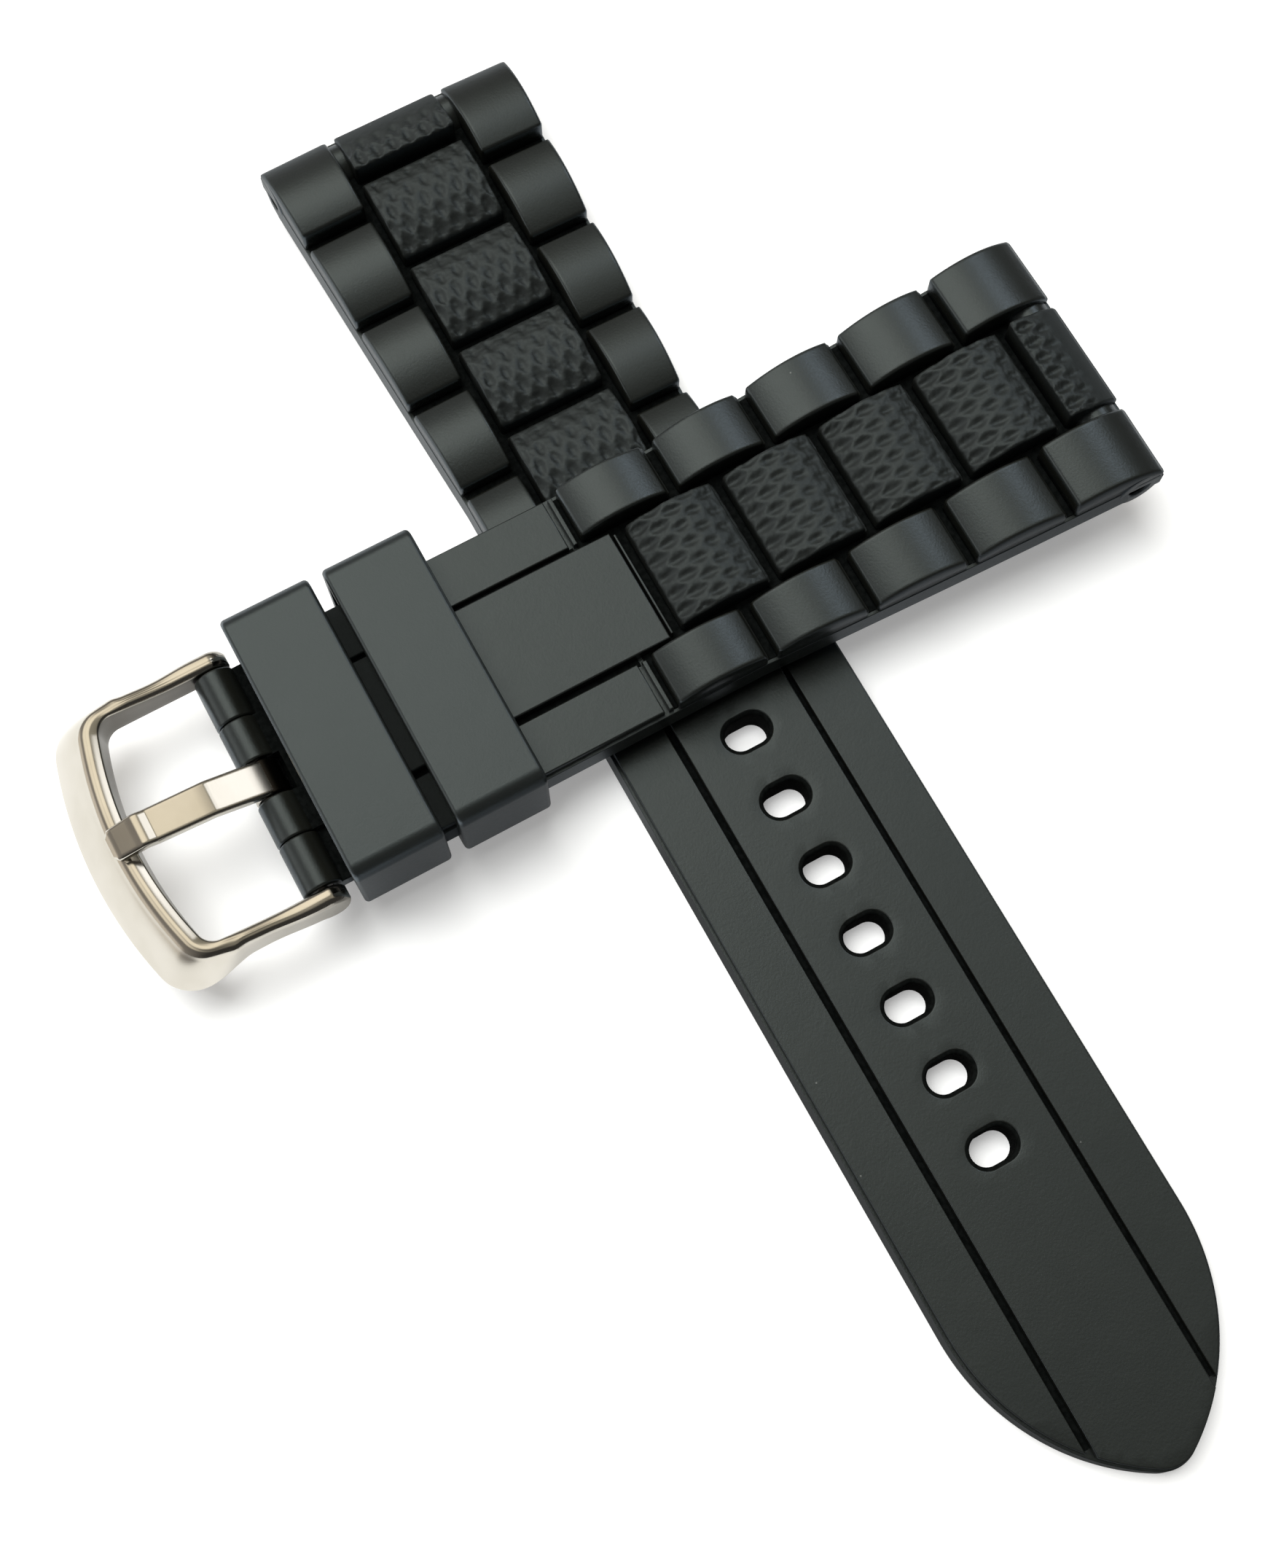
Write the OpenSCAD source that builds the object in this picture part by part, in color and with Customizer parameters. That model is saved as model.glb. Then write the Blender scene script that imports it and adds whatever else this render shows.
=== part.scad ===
// Two-piece silicone watch strap with a pin buckle, laid down with its halves crossed.
// Origin: centre line of the tail half, on its underside, where the buckle half crosses it.
// The tail half points along +X and the buckle half along -Y, and lengths are in millimetres.

/* [Strap width and length] */
// Width of both halves at the watch
lug_w = 24; // [23:0.5:25]
// Width of the plain stretch of both halves
strap_w = 20.8; // [20:0.2:22]
// Distance from the watch over which the halves narrow
taper_len = 36; // [30:1:42]
// Length of the tail half
tail_len = 127.9; // [118:0.1:136]
// Length of the buckle half, from its watch end to the buckle's bar
buckle_len = 74.6; // [72:0.2:84]
// Radius of the tail's shoulders
shoulder_r = 18; // [15:0.5:24]
// Radius of the tail's point
tip_r = 3; // [2:0.5:5]
// Radius of the corners at the watch end
corner_r = 0.6; // [0.3:0.1:1]

/* [Links] */
// Length of one link and the gap beside it
link_pitch = 8.9; // [8.5:0.1:9.2]
// Gap between two links, along and across
link_gap = 0.85; // [0.6:0.05:1.2]
// Length of the first outer link
outer_first = 8.15; // [7:0.05:9]
// Length of the first centre link
centre_first = 4.8; // [3.5:0.1:6]
// Width of the centre links
centre_w = 9.6; // [8:0.2:11]
// Height of the links' crowns
link_top = 4.5; // [4:0.1:5]
// Fall of a crown towards its ends
crown_fall = 0.95; // [0.4:0.05:1.2]
// Distance of the first links' crest from the watch end
first_crest = 5.5; // [4:0.1:6]
// Fall of an outer link towards the strap's edge
side_fall = 0.15; // [0.05:0.05:0.6]
// Setback of the links from the strap's edge
link_inset = 0.05; // [0.05:0.05:0.3]
// Height of the strap between the links
link_base = 2; // [2:0.1:2.8]
// Width of the bevel round the top of each link
link_bevel = 0.25; // [0.1:0.05:0.4]

/* [Plain stretch] */
// Height of the strap under its raised bands
base_t = 1.9; // [1.4:0.1:2.2]
// Height of the side bands
band_t = 2.6; // [2.4:0.1:2.8]
// Height of the centre band
centre_t = 3; // [2.9:0.1:3.3]
// Width of the grooves between the bands
groove_w = 0.55; // [0.4:0.05:0.8]
// Distance of the grooves from the centre line
groove_y = 5.35; // [5:0.05:6]
// Setback of every raised band from the strap's edge
edge_inset = 0.25; // [0.15:0.05:0.4]
// Width of the small rib in front of the side bands
rib_w = 0.4; // [0.3:0.05:0.6]
// Gap on both sides of that rib
rib_gap = 0.4; // [0.2:0.05:0.6]

/* [Watch end] */
// Height by which the watch end curves up
lug_rise = 1.1; // [0.6:0.1:1.6]
// Distance from the watch over which it curves up
rise_len = 35; // [30:1:40]
// Radius of the barrel at the watch end
barrel_r = 2.05; // [1.8:0.05:2.4]
// Radius of the hole for the watch's spring bar
lug_bore_r = 0.95; // [0.7:0.05:1.1]

/* [Buckle holes] */
// Number of holes in the tail half
hole_count = 7; // [4:1:7]
// Distance from the watch end to the first hole
hole_first = 64.35; // [60:0.05:68]
// Distance between two holes
hole_pitch = 6.23; // [5.8:0.01:6.6]
// Width of a hole, across the strap
hole_w = 3.7; // [3.4:0.1:4.2]
// Length of a hole, along the strap
hole_len = 2.5; // [2:0.1:3]
// Width of the rounded rim round a hole
hole_rim = 0.5; // [0.2:0.05:0.7]

/* [Keepers] */
// Length of each keeper along the strap
keeper_len = 7.55; // [6:0.05:8]
// Wall of the keepers
keeper_wall = 1.2; // [0.9:0.1:1.5]
// Clearance between a keeper and the strap's edges and underside
keeper_fit = 0.2; // [0.1:0.05:0.3]
// Radius of the keepers' outer corners
keeper_r = 1.6; // [1.3:0.1:2.2]
// Distance from the buckle's bar to the keeper beside it
keeper_setback = 2.4; // [2.2:0.1:3.4]
// Gap between the two keepers
keeper_gap = 1.2; // [1:0.1:3]
// Room that the keepers leave for the tail over the strap, more than the tail's height
tail_room = 0.1; // [0:0.05:0.5]

/* [Knuckle at the buckle] */
// Radius of the knuckle round the buckle's bar
knuckle_r = 1.65; // [1.5:0.05:1.8]
// Height of the buckle's bar over the strap's underside
bar_z = 1.45; // [1.35:0.05:1.6]
// Gap between the knuckle's ends and the buckle's arms
knuckle_fit = 0.15; // [0.08:0.01:0.25]
// Height of the neck behind the middle of the knuckle
neck_t = 2.2; // [1.9:0.1:2.6]
// Length of the recess behind the outer thirds of the knuckle
recess_len = 1.6; // [1:0.1:2]
// Height of the recess's floor
recess_floor = 1.5; // [1.2:0.1:1.8]
// Clearance on both sides of the tongue in its slot
slot_fit = 0.15; // [0.1:0.05:0.3]
// Clearance behind the tongue's eye, for the tongue to fold back
slot_back = 0.35; // [0.3:0.05:0.5]
// Width of the seams round the knuckle
seam_w = 0.2; // [0.1:0.05:0.3]
// Depth of those seams
seam_depth = 0.25; // [0.1:0.05:0.4]

/* [Buckle frame] */
// Width of the buckle's opening
opening_w = 20; // [19.4:0.1:20.4]
// Distance from the bar to the inside of the bow, at its middle
bow_reach = 11; // [10:0.1:13]
// Radius of the bow's curve, seen from above
bow_r = 32; // [24:1:60]
// Width of the bow's crest
crest_w = 1.6; // [1.2:0.1:2]
// Width of the bow's apron, which slopes down outside the crest
apron_w = 2.6; // [1.5:0.1:3.5]
// Width of the arms at their middle
arm_w = 1.3; // [1.1:0.05:2]
// Width of the arms at the bar
arm_root_w = 1.6; // [1.5:0.05:2.6]
// Width of the bow beside the opening
bow_side_w = 2.1; // [1.8:0.1:2.6]
// Height of the arms' tops over the bar's axis
arm_top = 1.55; // [1.3:0.05:1.8]
// Height of the bow's crest over the bar's axis
crest_top = 2.4; // [2:0.1:3]
// Depth of the frame under the bar's axis
frame_bottom = 1.2; // [1:0.1:1.5]
// Radius of the arms' rounded ends
arm_end_r = 1.6; // [1.4:0.05:1.8]
// Radius of the opening's inner corners
opening_r = 1.5; // [1:0.1:2.5]
// Radius of the bow's outer corners
bow_corner_r = 3.2; // [2.4:0.1:4]

/* [Tongue] */
// Width of the tongue
tongue_w = 3; // [2.6:0.1:3.4]
// Thickness of the tongue
tongue_t = 0.95; // [0.8:0.05:1.1]
// Radius of the eye round the bar
eye_r = 1.55; // [1.45:0.05:1.6]
// Distance from the bar to the tongue's first bend
bend_1 = 4.5; // [3.5:0.1:5.5]
// Height of the first bend over the bar
bend_1_z = 2.75; // [2.2:0.05:3.2]
// Length of the tongue's end beyond its second bend
nose_len = 2; // [1.5:0.1:3]
// Gap between the tongue's end and the bow's crest
nose_gap = 0.06; // [0.03:0.01:0.15]

/* [Spring bar of the buckle] */
// Radius of the bar's tube
tube_r = 0.9; // [0.8:0.02:1]
// Wall of the bar's tube
tube_wall = 0.28; // [0.2:0.01:0.3]
// Radius of the bar's tips
tip_pin_r = 0.45; // [0.35:0.01:0.5]
// Depth of the tips in the arms
tip_depth = 1.2; // [1:0.05:1.3]
// Width of the shoulder behind each tip
shoulder_w = 0.45; // [0.3:0.05:0.6]
// Radial clearance of everything that turns or slides
run_fit = 0.05; // [0.03:0.005:0.08]
// Spare travel of a tip beyond what frees it from its arm
spare_travel = 0.05; // [0.03:0.01:0.15]

/* [Layout] */
// Distance from the tail half's watch end to the crossing
cross_tail = 50.8; // [50:0.1:56]
// Distance from the buckle half's watch end to the crossing
cross_buckle = 39.3; // [36:0.1:42]
// Gap between the two halves where they cross
cross_gap = 0.1; // [0.05:0.05:0.5]

/* [Hidden] */

silicone = "dimgray";
steel = "gainsboro";
over = 1;
small = 0.01;
fine = 180;
crown_fine = 720;

link_rows = 5;
half_w = strap_w / 2;
outer_y = centre_w / 2 + link_gap;
outer_end = outer_first + (link_rows - 1) * link_pitch;
centre_end = centre_first + (link_rows - 1) * link_pitch;
rib_x = outer_end + rib_gap;
bands_x = rib_x + rib_w + rib_gap / 2;
centre_band_x = centre_end + link_gap;
outer_len = link_pitch - link_gap;
crown_r = (pow(outer_len / 2, 2) + pow(crown_fall, 2)) / (2 * crown_fall);
gap_floor = max(link_base, base_t + 2 * small);
body_end = buckle_len - knuckle_r - recess_len;
bore_x = barrel_r + small;

knuckle_half = opening_w / 2 - knuckle_fit;
slot_half = tongue_w / 2 + slot_fit;
pin_end = opening_w / 2 + tip_depth;
travel = tip_depth + spare_travel;
shoulder_out = knuckle_half - knuckle_fit;
shoulder_in = shoulder_out - shoulder_w;
tube_half = shoulder_in - travel - spare_travel;
tube_bore_r = tube_r - tube_wall;
stem_r = tube_bore_r - run_fit;
spring_half = tube_half / 2;

bow_x = bow_reach - bow_r;
crest_out = bow_r + crest_w;
apron_out = crest_out + apron_w;
arm_half = opening_w / 2 + arm_w;
root_half = opening_w / 2 + arm_root_w;
bow_half = opening_w / 2 + max(bow_side_w, arm_w);
full_half = max(bow_half, root_half) + small;
bend_2 = bow_reach - 0.8;
bend_2_z = crest_top + nose_gap + tongue_t;
nose_z = crest_top + nose_gap + tongue_t / 2;

keeper_in_w = half_w + keeper_fit;
keeper_in_top = centre_t * 2 + tail_room - keeper_fit;
keeper_x1 = buckle_len - keeper_setback - keeper_len;
keeper_x2 = keeper_x1 - keeper_gap - keeper_len;
lift = link_top + cross_gap;

// Height and slope of the curved-up watch end at a distance x from its edge
function rise(x) = x < rise_len ? lug_rise * pow((rise_len - x) / rise_len, 2) : 0;
function slope(x) = x < rise_len ? atan(2 * lug_rise * (rise_len - x) / pow(rise_len, 2)) : 0;
// Fall of a crown at a distance d from its crest, and the crest's distance from a link's start
function crown_drop(d) = crown_r - sqrt(crown_r * crown_r - d * d);
function crest_of(k) = k == 1 ? first_crest : outer_len / 2;
// Half the strap's width at a distance x from the watch end
function half_width(x) = half_w + (lug_w / 2 - half_w) * max(0, 1 - x / taper_len);
// Points on an arc round c
function arc(c, r, a0, a1, n = 6) = [for (i = [0:n]) c + r * [cos(a0 + (a1 - a0) * i / n),
    sin(a0 + (a1 - a0) * i / n)]];

// Outline of a half as seen from above, up to x_end and drawn in by inset
module half_outline(x_end, inset = 0) {
    w0 = lug_w / 2 - inset;
    w1 = half_w - inset;
    polygon(concat(
        [[x_end, w1], [taper_len, w1]],
        arc([corner_r, w0 - corner_r], corner_r, 90, 180),
        arc([corner_r, corner_r - w0], corner_r, 180, 270),
        [[taper_len, -w1], [x_end, -w1]]));
}

// Outline of the tail half with its pointed end, drawn in by inset
module tail_outline(inset = 0) {
    r = shoulder_r - inset;
    t = tip_r - inset;
    w = half_w - inset;
    run = sqrt(pow(r - t, 2) - pow(r - w, 2));
    shoulder_x = tail_len - inset - t - run;
    half_outline(shoulder_x, inset);
    intersection() {
        translate([shoulder_x - small, -w]) square([r * run / (r - t) + small, 2 * w]);
        translate([shoulder_x, w - r]) circle(r = r, $fn = fine * 2);
        translate([shoulder_x, r - w]) circle(r = r, $fn = fine * 2);
    }
    translate([shoulder_x + run, 0]) circle(r = t, $fn = fine);
}

// Side view of a link: bevelled ends under a crown, standing on z = 0
module link_side(len, top, crest) {
    b = link_bevel;
    start = crown_drop(crest) + b;
    end = crown_drop(len - crest) + b;
    start_slope = start - crown_drop(crest - b);
    end_slope = end - crown_drop(len - crest - b);
    intersection() {
        polygon([[0, 0], [len, 0], [len, top - end], [len - 2 * b, top - end + 2 * end_slope],
            [len - 2 * b, top + b], [2 * b, top + b],
            [2 * b, top - start + 2 * start_slope], [0, top - start]]);
        translate([crest, top - crown_r]) circle(r = crown_r, $fn = crown_fine);
    }
}

// One link, from x to x + len and from y0 to y1, leaning out by fall degrees
module link(x, len, y0, y1, crest, fall = 0) {
    xc = x + len / 2;
    translate([xc, 0, rise(xc)])
        rotate([0, slope(xc), 0])
            translate([-len / 2, y0, link_top])
                rotate([-fall, 0, 0])
                    translate([0, y1 - y0, -link_top])
                        rotate([90, 0, 0])
                            linear_extrude(y1 - y0) link_side(len, link_top, crest);
}

// The outer links of one side, which lean towards the strap's edge
module outer_links() {
    fall = atan(side_fall / (half_w - outer_y));
    reach = lug_w / 2 + over;
    for (k = [1:link_rows]) {
        x = k == 1 ? 0 : outer_first + (k - 2) * link_pitch + link_gap;
        link(x, k == 1 ? outer_first : outer_len, outer_y, reach, crest_of(k), fall);
    }
}

module centre_links() {
    for (k = [1:link_rows]) {
        x = k == 1 ? 0 : centre_first + (k - 2) * link_pitch + link_gap;
        link(x, k == 1 ? centre_first : outer_len, -centre_w / 2, centre_w / 2, crest_of(k));
    }
}

// Strap under the links, whose underside curves up to the watch end
module link_floor() {
    steps = 10;
    under = [for (i = [0:steps]) [i * rise_len / steps, rise(i * rise_len / steps)]];
    above = [for (i = [steps:-1:0]) under[i] + [0, gap_floor]];
    intersection() {
        rotate([90, 0, 0])
            linear_extrude(lug_w + 2 * over, center = true)
                polygon(concat(under, [[rib_x, 0], [rib_x, gap_floor]], above));
        linear_extrude(3 * link_top) half_outline(rib_x);
    }
}

// Barrel at the watch end
module barrel() {
    translate([bore_x, 0, barrel_r])
        rotate([90, 0, 0]) cylinder(r = barrel_r, h = lug_w, center = true, $fn = fine);
}

module lug_bore() {
    translate([bore_x, 0, barrel_r])
        rotate([90, 0, 0]) cylinder(r = lug_bore_r, h = lug_w + 2 * over, center = true, $fn = fine);
}

// The linked stretch, which is the same on both halves
module link_zone() {
    link_floor();
    intersection() {
        barrel();
        linear_extrude(3 * link_top) half_outline(rib_x);
    }
    intersection() {
        union() {
            centre_links();
            outer_links();
            mirror([0, 1, 0]) outer_links();
        }
        translate([0, 0, base_t]) linear_extrude(3 * link_top) half_outline(rib_x, link_inset);
    }
    translate([rib_x, 0, 0])
        for (side = [-1, 1])
            translate([0, side > 0 ? outer_y : edge_inset - half_w, base_t])
                cube([rib_w, half_w - edge_inset - outer_y, band_t - base_t]);
}

// Three raised bands, cut out of the children's outline
module raised_bands(x_end) {
    band_in = groove_y + groove_w / 2;
    centre_half = groove_y - groove_w / 2;
    linear_extrude(centre_t) intersection() {
        translate([centre_band_x, -centre_half]) square([x_end - centre_band_x, 2 * centre_half]);
        children();
    }
    linear_extrude(band_t) intersection() {
        children();
        for (side = [0, 1]) mirror([0, side])
            translate([bands_x, band_in]) square([x_end - bands_x, half_w - band_in]);
    }
}

// Slot-shaped cutter of radius r, whose round ends lie spread either side of the centre line
module slot(r, h, r_top, spread) {
    for (side = [-1, 1])
        translate([0, side * spread, 0]) cylinder(r1 = r, r2 = r_top, h = h, $fn = fine);
    rotate([90, 0, 0])
        linear_extrude(2 * spread, center = true)
            polygon([[-r, 0], [r, 0], [r_top, h], [-r_top, h]]);
}

// Through hole with a rim that opens to the top
module buckle_hole() {
    r = hole_len / 2;
    spread = hole_w / 2 - r;
    translate([0, 0, -over]) slot(r, centre_t + 2 * over, r, spread);
    translate([0, 0, centre_t - hole_rim]) slot(r, hole_rim + small, r + hole_rim, spread);
}

module tail_half() {
    difference() {
        union() {
            link_zone();
            linear_extrude(base_t) difference() {
                tail_outline();
                translate([-over, -lug_w]) square([over + rib_x, 2 * lug_w]);
            }
            raised_bands(tail_len) tail_outline(edge_inset);
        }
        lug_bore();
        for (i = [0:hole_count - 1])
            translate([hole_first + i * hole_pitch, 0, 0]) buckle_hole();
    }
}

// Neck between the buckle half's plain end and the bar, with the knuckle round the bar
module knuckle() {
    for (side = [-1, 1]) {
        inner = side > 0 ? 0 : -groove_y;
        outer = side > 0 ? 0 : -knuckle_half;
        translate([body_end - small, inner, 0]) cube([buckle_len - body_end + small, groove_y, neck_t]);
        translate([body_end - small, outer, 0])
            cube([buckle_len - body_end + small, knuckle_half, recess_floor]);
    }
    translate([buckle_len, 0, bar_z])
        rotate([90, 0, 0]) cylinder(r = knuckle_r, h = 2 * knuckle_half, center = true, $fn = fine);
}

module buckle_half() {
    difference() {
        union() {
            link_zone();
            translate([rib_x, -half_w, 0]) cube([body_end - rib_x, strap_w, base_t]);
            raised_bands(body_end) half_outline(body_end, edge_inset);
            knuckle();
        }
        lug_bore();
        translate([buckle_len, 0, bar_z]) {
            rotate([90, 0, 0]) cylinder(r = tube_r, h = 3 * knuckle_half, center = true, $fn = fine);
            for (side = [-1, 1])
                translate([0, side * groove_y, 0]) rotate([90, 0, 0]) difference() {
                    cylinder(r = knuckle_r + over, h = seam_w, center = true, $fn = fine);
                    cylinder(r = knuckle_r - seam_depth, h = seam_w + over, center = true, $fn = fine);
                    translate([-over - knuckle_r, -over - knuckle_r, -over])
                        cube([knuckle_r + over, 2 * knuckle_r + 2 * over, 2 * over]);
                }
        }
        translate([buckle_len - eye_r - slot_back, -slot_half, -over])
            cube([4 * knuckle_r, 2 * slot_half, centre_t + 3 * over]);
    }
}

// Loop that holds the tail down, from x = 0 to keeper_len
module keeper() {
    out_w = keeper_in_w + keeper_wall;
    out_h = keeper_in_top + keeper_fit + 2 * keeper_wall;
    r_in = keeper_r - keeper_wall;
    translate([0, 0, -keeper_fit - keeper_wall])
        rotate([90, 0, 90])
            linear_extrude(keeper_len)
                difference() {
                    rounded_rect(out_w, out_h, keeper_r);
                    translate([0, keeper_wall]) rounded_rect(keeper_in_w, out_h - 2 * keeper_wall, r_in);
                }
}

// Rectangle from -half to +half and from 0 to h, with corners of radius r
module rounded_rect(half, h, r) {
    translate([-half, r]) square([2 * half, h - 2 * r]);
    translate([r - half, 0]) square([2 * (half - r), h]);
    for (x = [r - half, half - r], y = [r, h - r])
        translate([x, y]) circle(r = r, $fn = fine / 2);
}

// Bow's cross-section: r from the centre of its curve, z over the bar's axis
module bow_section() {
    z0 = -frame_bottom;
    a = [crest_out, crest_top - crest_w / 8];
    b = [apron_out, z0 + crest_w / 8];
    polygon(concat(
        [[bow_r - over, z0], [bow_r - over, crest_top - crest_w / 4]],
        arc([bow_r + crest_w / 4, crest_top - crest_w / 4], crest_w / 4, 180, 90, 4),
        [a], bulge(a, b, apron_w / 8), [b, [apron_out - crest_w / 8, z0]]));
}

// Points between a and b on a curve that stands out by s in the middle
function bulge(a, b, s, n = 6) = [for (i = [1:n - 1]) let (t = i / n, d = b - a)
    a + d * t + 4 * s * t * (1 - t) * [-d[1], d[0]] / norm(d) * -1];

// Plan of the frame without its opening, open to the front where the bow's section ends it
module frame_plan() {
    reach = apron_out - bow_corner_r;
    cy = bow_half - bow_corner_r;
    cx = bow_x + sqrt(reach * reach - cy * cy);
    side = concat([[-arm_end_r, root_half], [arm_end_r, root_half], [cx * 0.6, arm_half],
        [cx * 0.75, arm_half]], arc([cx, cy], bow_corner_r, 90, asin(cy / reach), 12));
    mirrored = [for (i = [len(side) - 1:-1:0]) [side[i][0], -side[i][1]]];
    polygon(concat(side, [[bow_x + apron_out + 2 * over, 0]], mirrored));
}

// Plan of the frame's opening
module opening_plan() {
    half = opening_w / 2;
    reach = bow_r - opening_r;
    cy = half - opening_r;
    cx = bow_x + sqrt(reach * reach - cy * cy);
    translate([-2 * arm_end_r, -half]) square([cx + 2 * arm_end_r, opening_w]);
    intersection() {
        translate([bow_x, 0]) circle(r = bow_r, $fn = fine * 3);
        polygon([[bow_x, 0], [cx, cy] + [cx - bow_x, cy], [cx, -cy] + [cx - bow_x, -cy]]);
    }
    for (side = [-1, 1]) translate([cx, side * cy]) circle(r = opening_r, $fn = fine);
}

// Side view of the arms, which rise to the bow's crest
module arm_side() {
    rise_x = bow_reach * 0.62;
    circle(r = arm_end_r, $fn = fine);
    polygon([[0, -frame_bottom], [bow_reach, -frame_bottom], [bow_reach, crest_top],
        [bow_reach * 0.84, crest_top], [rise_x, arm_top], [0, arm_top]]);
}

// Buckle frame, round the bar's axis: two arms, and a bow whose apron slopes down
module frame_solid() {
    z0 = -arm_end_r;
    h = crest_top + arm_end_r;
    top_half = arm_half + small;
    difference() {
        intersection() {
            union() {
                rotate([90, 0, 0]) linear_extrude(2 * lug_w, center = true) arm_side();
                translate([bow_x, 0, 0]) rotate_extrude($fn = fine * 3) bow_section();
            }
            translate([0, 0, z0]) linear_extrude(h) frame_plan();
            translate([-lug_w, 0, 0]) rotate([90, 0, 90]) linear_extrude(3 * lug_w)
                polygon([[-full_half, z0], [full_half, z0], [full_half, arm_top / 2],
                    [top_half, crest_top], [-top_half, crest_top], [-full_half, arm_top / 2]]);
        }
        translate([0, 0, z0 - over]) linear_extrude(h + 2 * over) opening_plan();
        rotate([90, 0, 0])
            cylinder(r = tip_pin_r + run_fit, h = 2 * (pin_end + spare_travel), center = true, $fn = fine);
    }
}

// Unit normal to the left of a direction
function left_of(d) = [-d[1], d[0]] / norm(d);
// Point beside the bend a, b, c at a distance h from both of its lines
function beside(a, b, c, h) = let (n = left_of(b - a), m = left_of(c - b)) b + h * (n + m) / (1 + n * m);

// Side view of a strip of thickness t through four points, with a rounded end
module strip(p, t) {
    h = t / 2;
    end = p[3] - p[2];
    a = atan2(end[1], end[0]);
    polygon(concat(
        [p[0] + h * left_of(p[1] - p[0]), beside(p[0], p[1], p[2], h), beside(p[1], p[2], p[3], h)],
        arc(p[3], h, a + 90, a - 90, 9),
        [beside(p[1], p[2], p[3], -h), beside(p[0], p[1], p[2], -h), p[0] - h * left_of(p[1] - p[0])]));
}

// Tongue, round the bar's axis
module tongue_solid() {
    nose = [bend_2 + nose_len, nose_z];
    nose_r = tongue_w * 0.4;
    flat = tongue_w / 2 - nose_r;
    end_x = nose[0] + tongue_t * 0.4;
    difference() {
        union() {
            rotate([90, 0, 0]) cylinder(r = eye_r, h = tongue_w, center = true, $fn = fine);
            intersection() {
                rotate([90, 0, 0]) linear_extrude(tongue_w, center = true)
                    strip([[-eye_r * 0.24, eye_r * 0.62], [bend_1, bend_1_z], [bend_2, bend_2_z], nose], tongue_t);
                linear_extrude(8 * eye_r, center = true) union() {
                    translate([-over, -tongue_w / 2]) square([end_x - nose_r + over, tongue_w]);
                    translate([0, -flat]) square([end_x, 2 * flat]);
                    for (side = [-1, 1])
                        translate([end_x - nose_r, side * flat]) circle(r = nose_r, $fn = fine / 2);
                }
            }
        }
        rotate([90, 0, 0]) cylinder(r = tube_r + run_fit, h = 2 * tongue_w, center = true, $fn = fine);
    }
}

// Sliding end of the spring bar, on the +Y side of its middle
module plunger() {
    rotate([-90, 0, 0]) {
        translate([0, 0, spring_half + small]) cylinder(r = stem_r, h = shoulder_in - spring_half, $fn = fine);
        translate([0, 0, shoulder_in]) cylinder(r = tube_r - run_fit, h = shoulder_w, $fn = fine);
        translate([0, 0, shoulder_out - small])
            cylinder(r = tip_pin_r, h = pin_end - shoulder_out + small, $fn = fine);
    }
}

// Turns the buckle half and all that it carries to its place over the tail half
module on_buckle_half() {
    translate([0, cross_buckle, lift]) rotate([0, 0, -90]) children();
}

module on_bar() {
    on_buckle_half() translate([buckle_len, 0, bar_z]) children();
}

module tail_strap() {
    color(silicone) translate([-cross_tail, 0, 0]) tail_half();
}

module buckle_strap() {
    color(silicone) on_buckle_half() buckle_half();
}

module keeper_by_buckle() {
    color(silicone) on_buckle_half() translate([keeper_x1, 0, 0]) keeper();
}

module keeper_loose() {
    color(silicone) on_buckle_half() translate([keeper_x2, 0, 0]) keeper();
}

module buckle_frame() {
    color(steel) on_bar() frame_solid();
}

module buckle_tongue() {
    color(steel) on_bar() tongue_solid();
}

module bar_tube() {
    color(steel) on_bar() rotate([90, 0, 0]) difference() {
        cylinder(r = tube_r, h = 2 * tube_half, center = true, $fn = fine);
        cylinder(r = tube_bore_r, h = 2 * tube_half + over, center = true, $fn = fine);
    }
}

module bar_spring() {
    color(steel) on_bar() rotate([90, 0, 0]) difference() {
        cylinder(r = stem_r, h = 2 * spring_half, center = true, $fn = fine);
        cylinder(r = stem_r / 2, h = 2 * spring_half + over, center = true, $fn = fine);
    }
}

module bar_plunger_near() {
    color(steel) on_bar() plunger();
}

module bar_plunger_far() {
    color(steel) on_bar() mirror([0, 1, 0]) plunger();
}

tail_strap();
buckle_strap();
keeper_by_buckle();
keeper_loose();
buckle_frame();
buckle_tongue();
bar_tube();
bar_spring();
bar_plunger_near();
bar_plunger_far();
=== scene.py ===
import math

import bmesh
import bpy
import numpy as np
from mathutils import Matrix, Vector
from mathutils.geometry import delaunay_2d_cdt


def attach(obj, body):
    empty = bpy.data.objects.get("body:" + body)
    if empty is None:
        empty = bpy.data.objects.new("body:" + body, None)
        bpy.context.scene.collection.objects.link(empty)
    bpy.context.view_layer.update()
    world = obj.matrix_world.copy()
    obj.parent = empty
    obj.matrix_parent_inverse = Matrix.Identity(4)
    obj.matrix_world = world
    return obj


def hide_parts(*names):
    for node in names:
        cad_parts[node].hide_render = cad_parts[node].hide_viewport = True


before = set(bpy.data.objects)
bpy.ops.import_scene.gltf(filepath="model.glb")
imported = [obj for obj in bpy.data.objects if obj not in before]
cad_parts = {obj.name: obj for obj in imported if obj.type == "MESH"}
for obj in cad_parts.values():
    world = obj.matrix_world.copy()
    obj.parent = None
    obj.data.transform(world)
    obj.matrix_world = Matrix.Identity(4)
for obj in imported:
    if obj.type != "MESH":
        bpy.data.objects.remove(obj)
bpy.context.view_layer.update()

# Silicone of both halves and the keepers: charcoal rubber, moulded in a fine-blasted steel
# mould, so it has a soft satin face with a faint grain, and dust clings to it.


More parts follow.
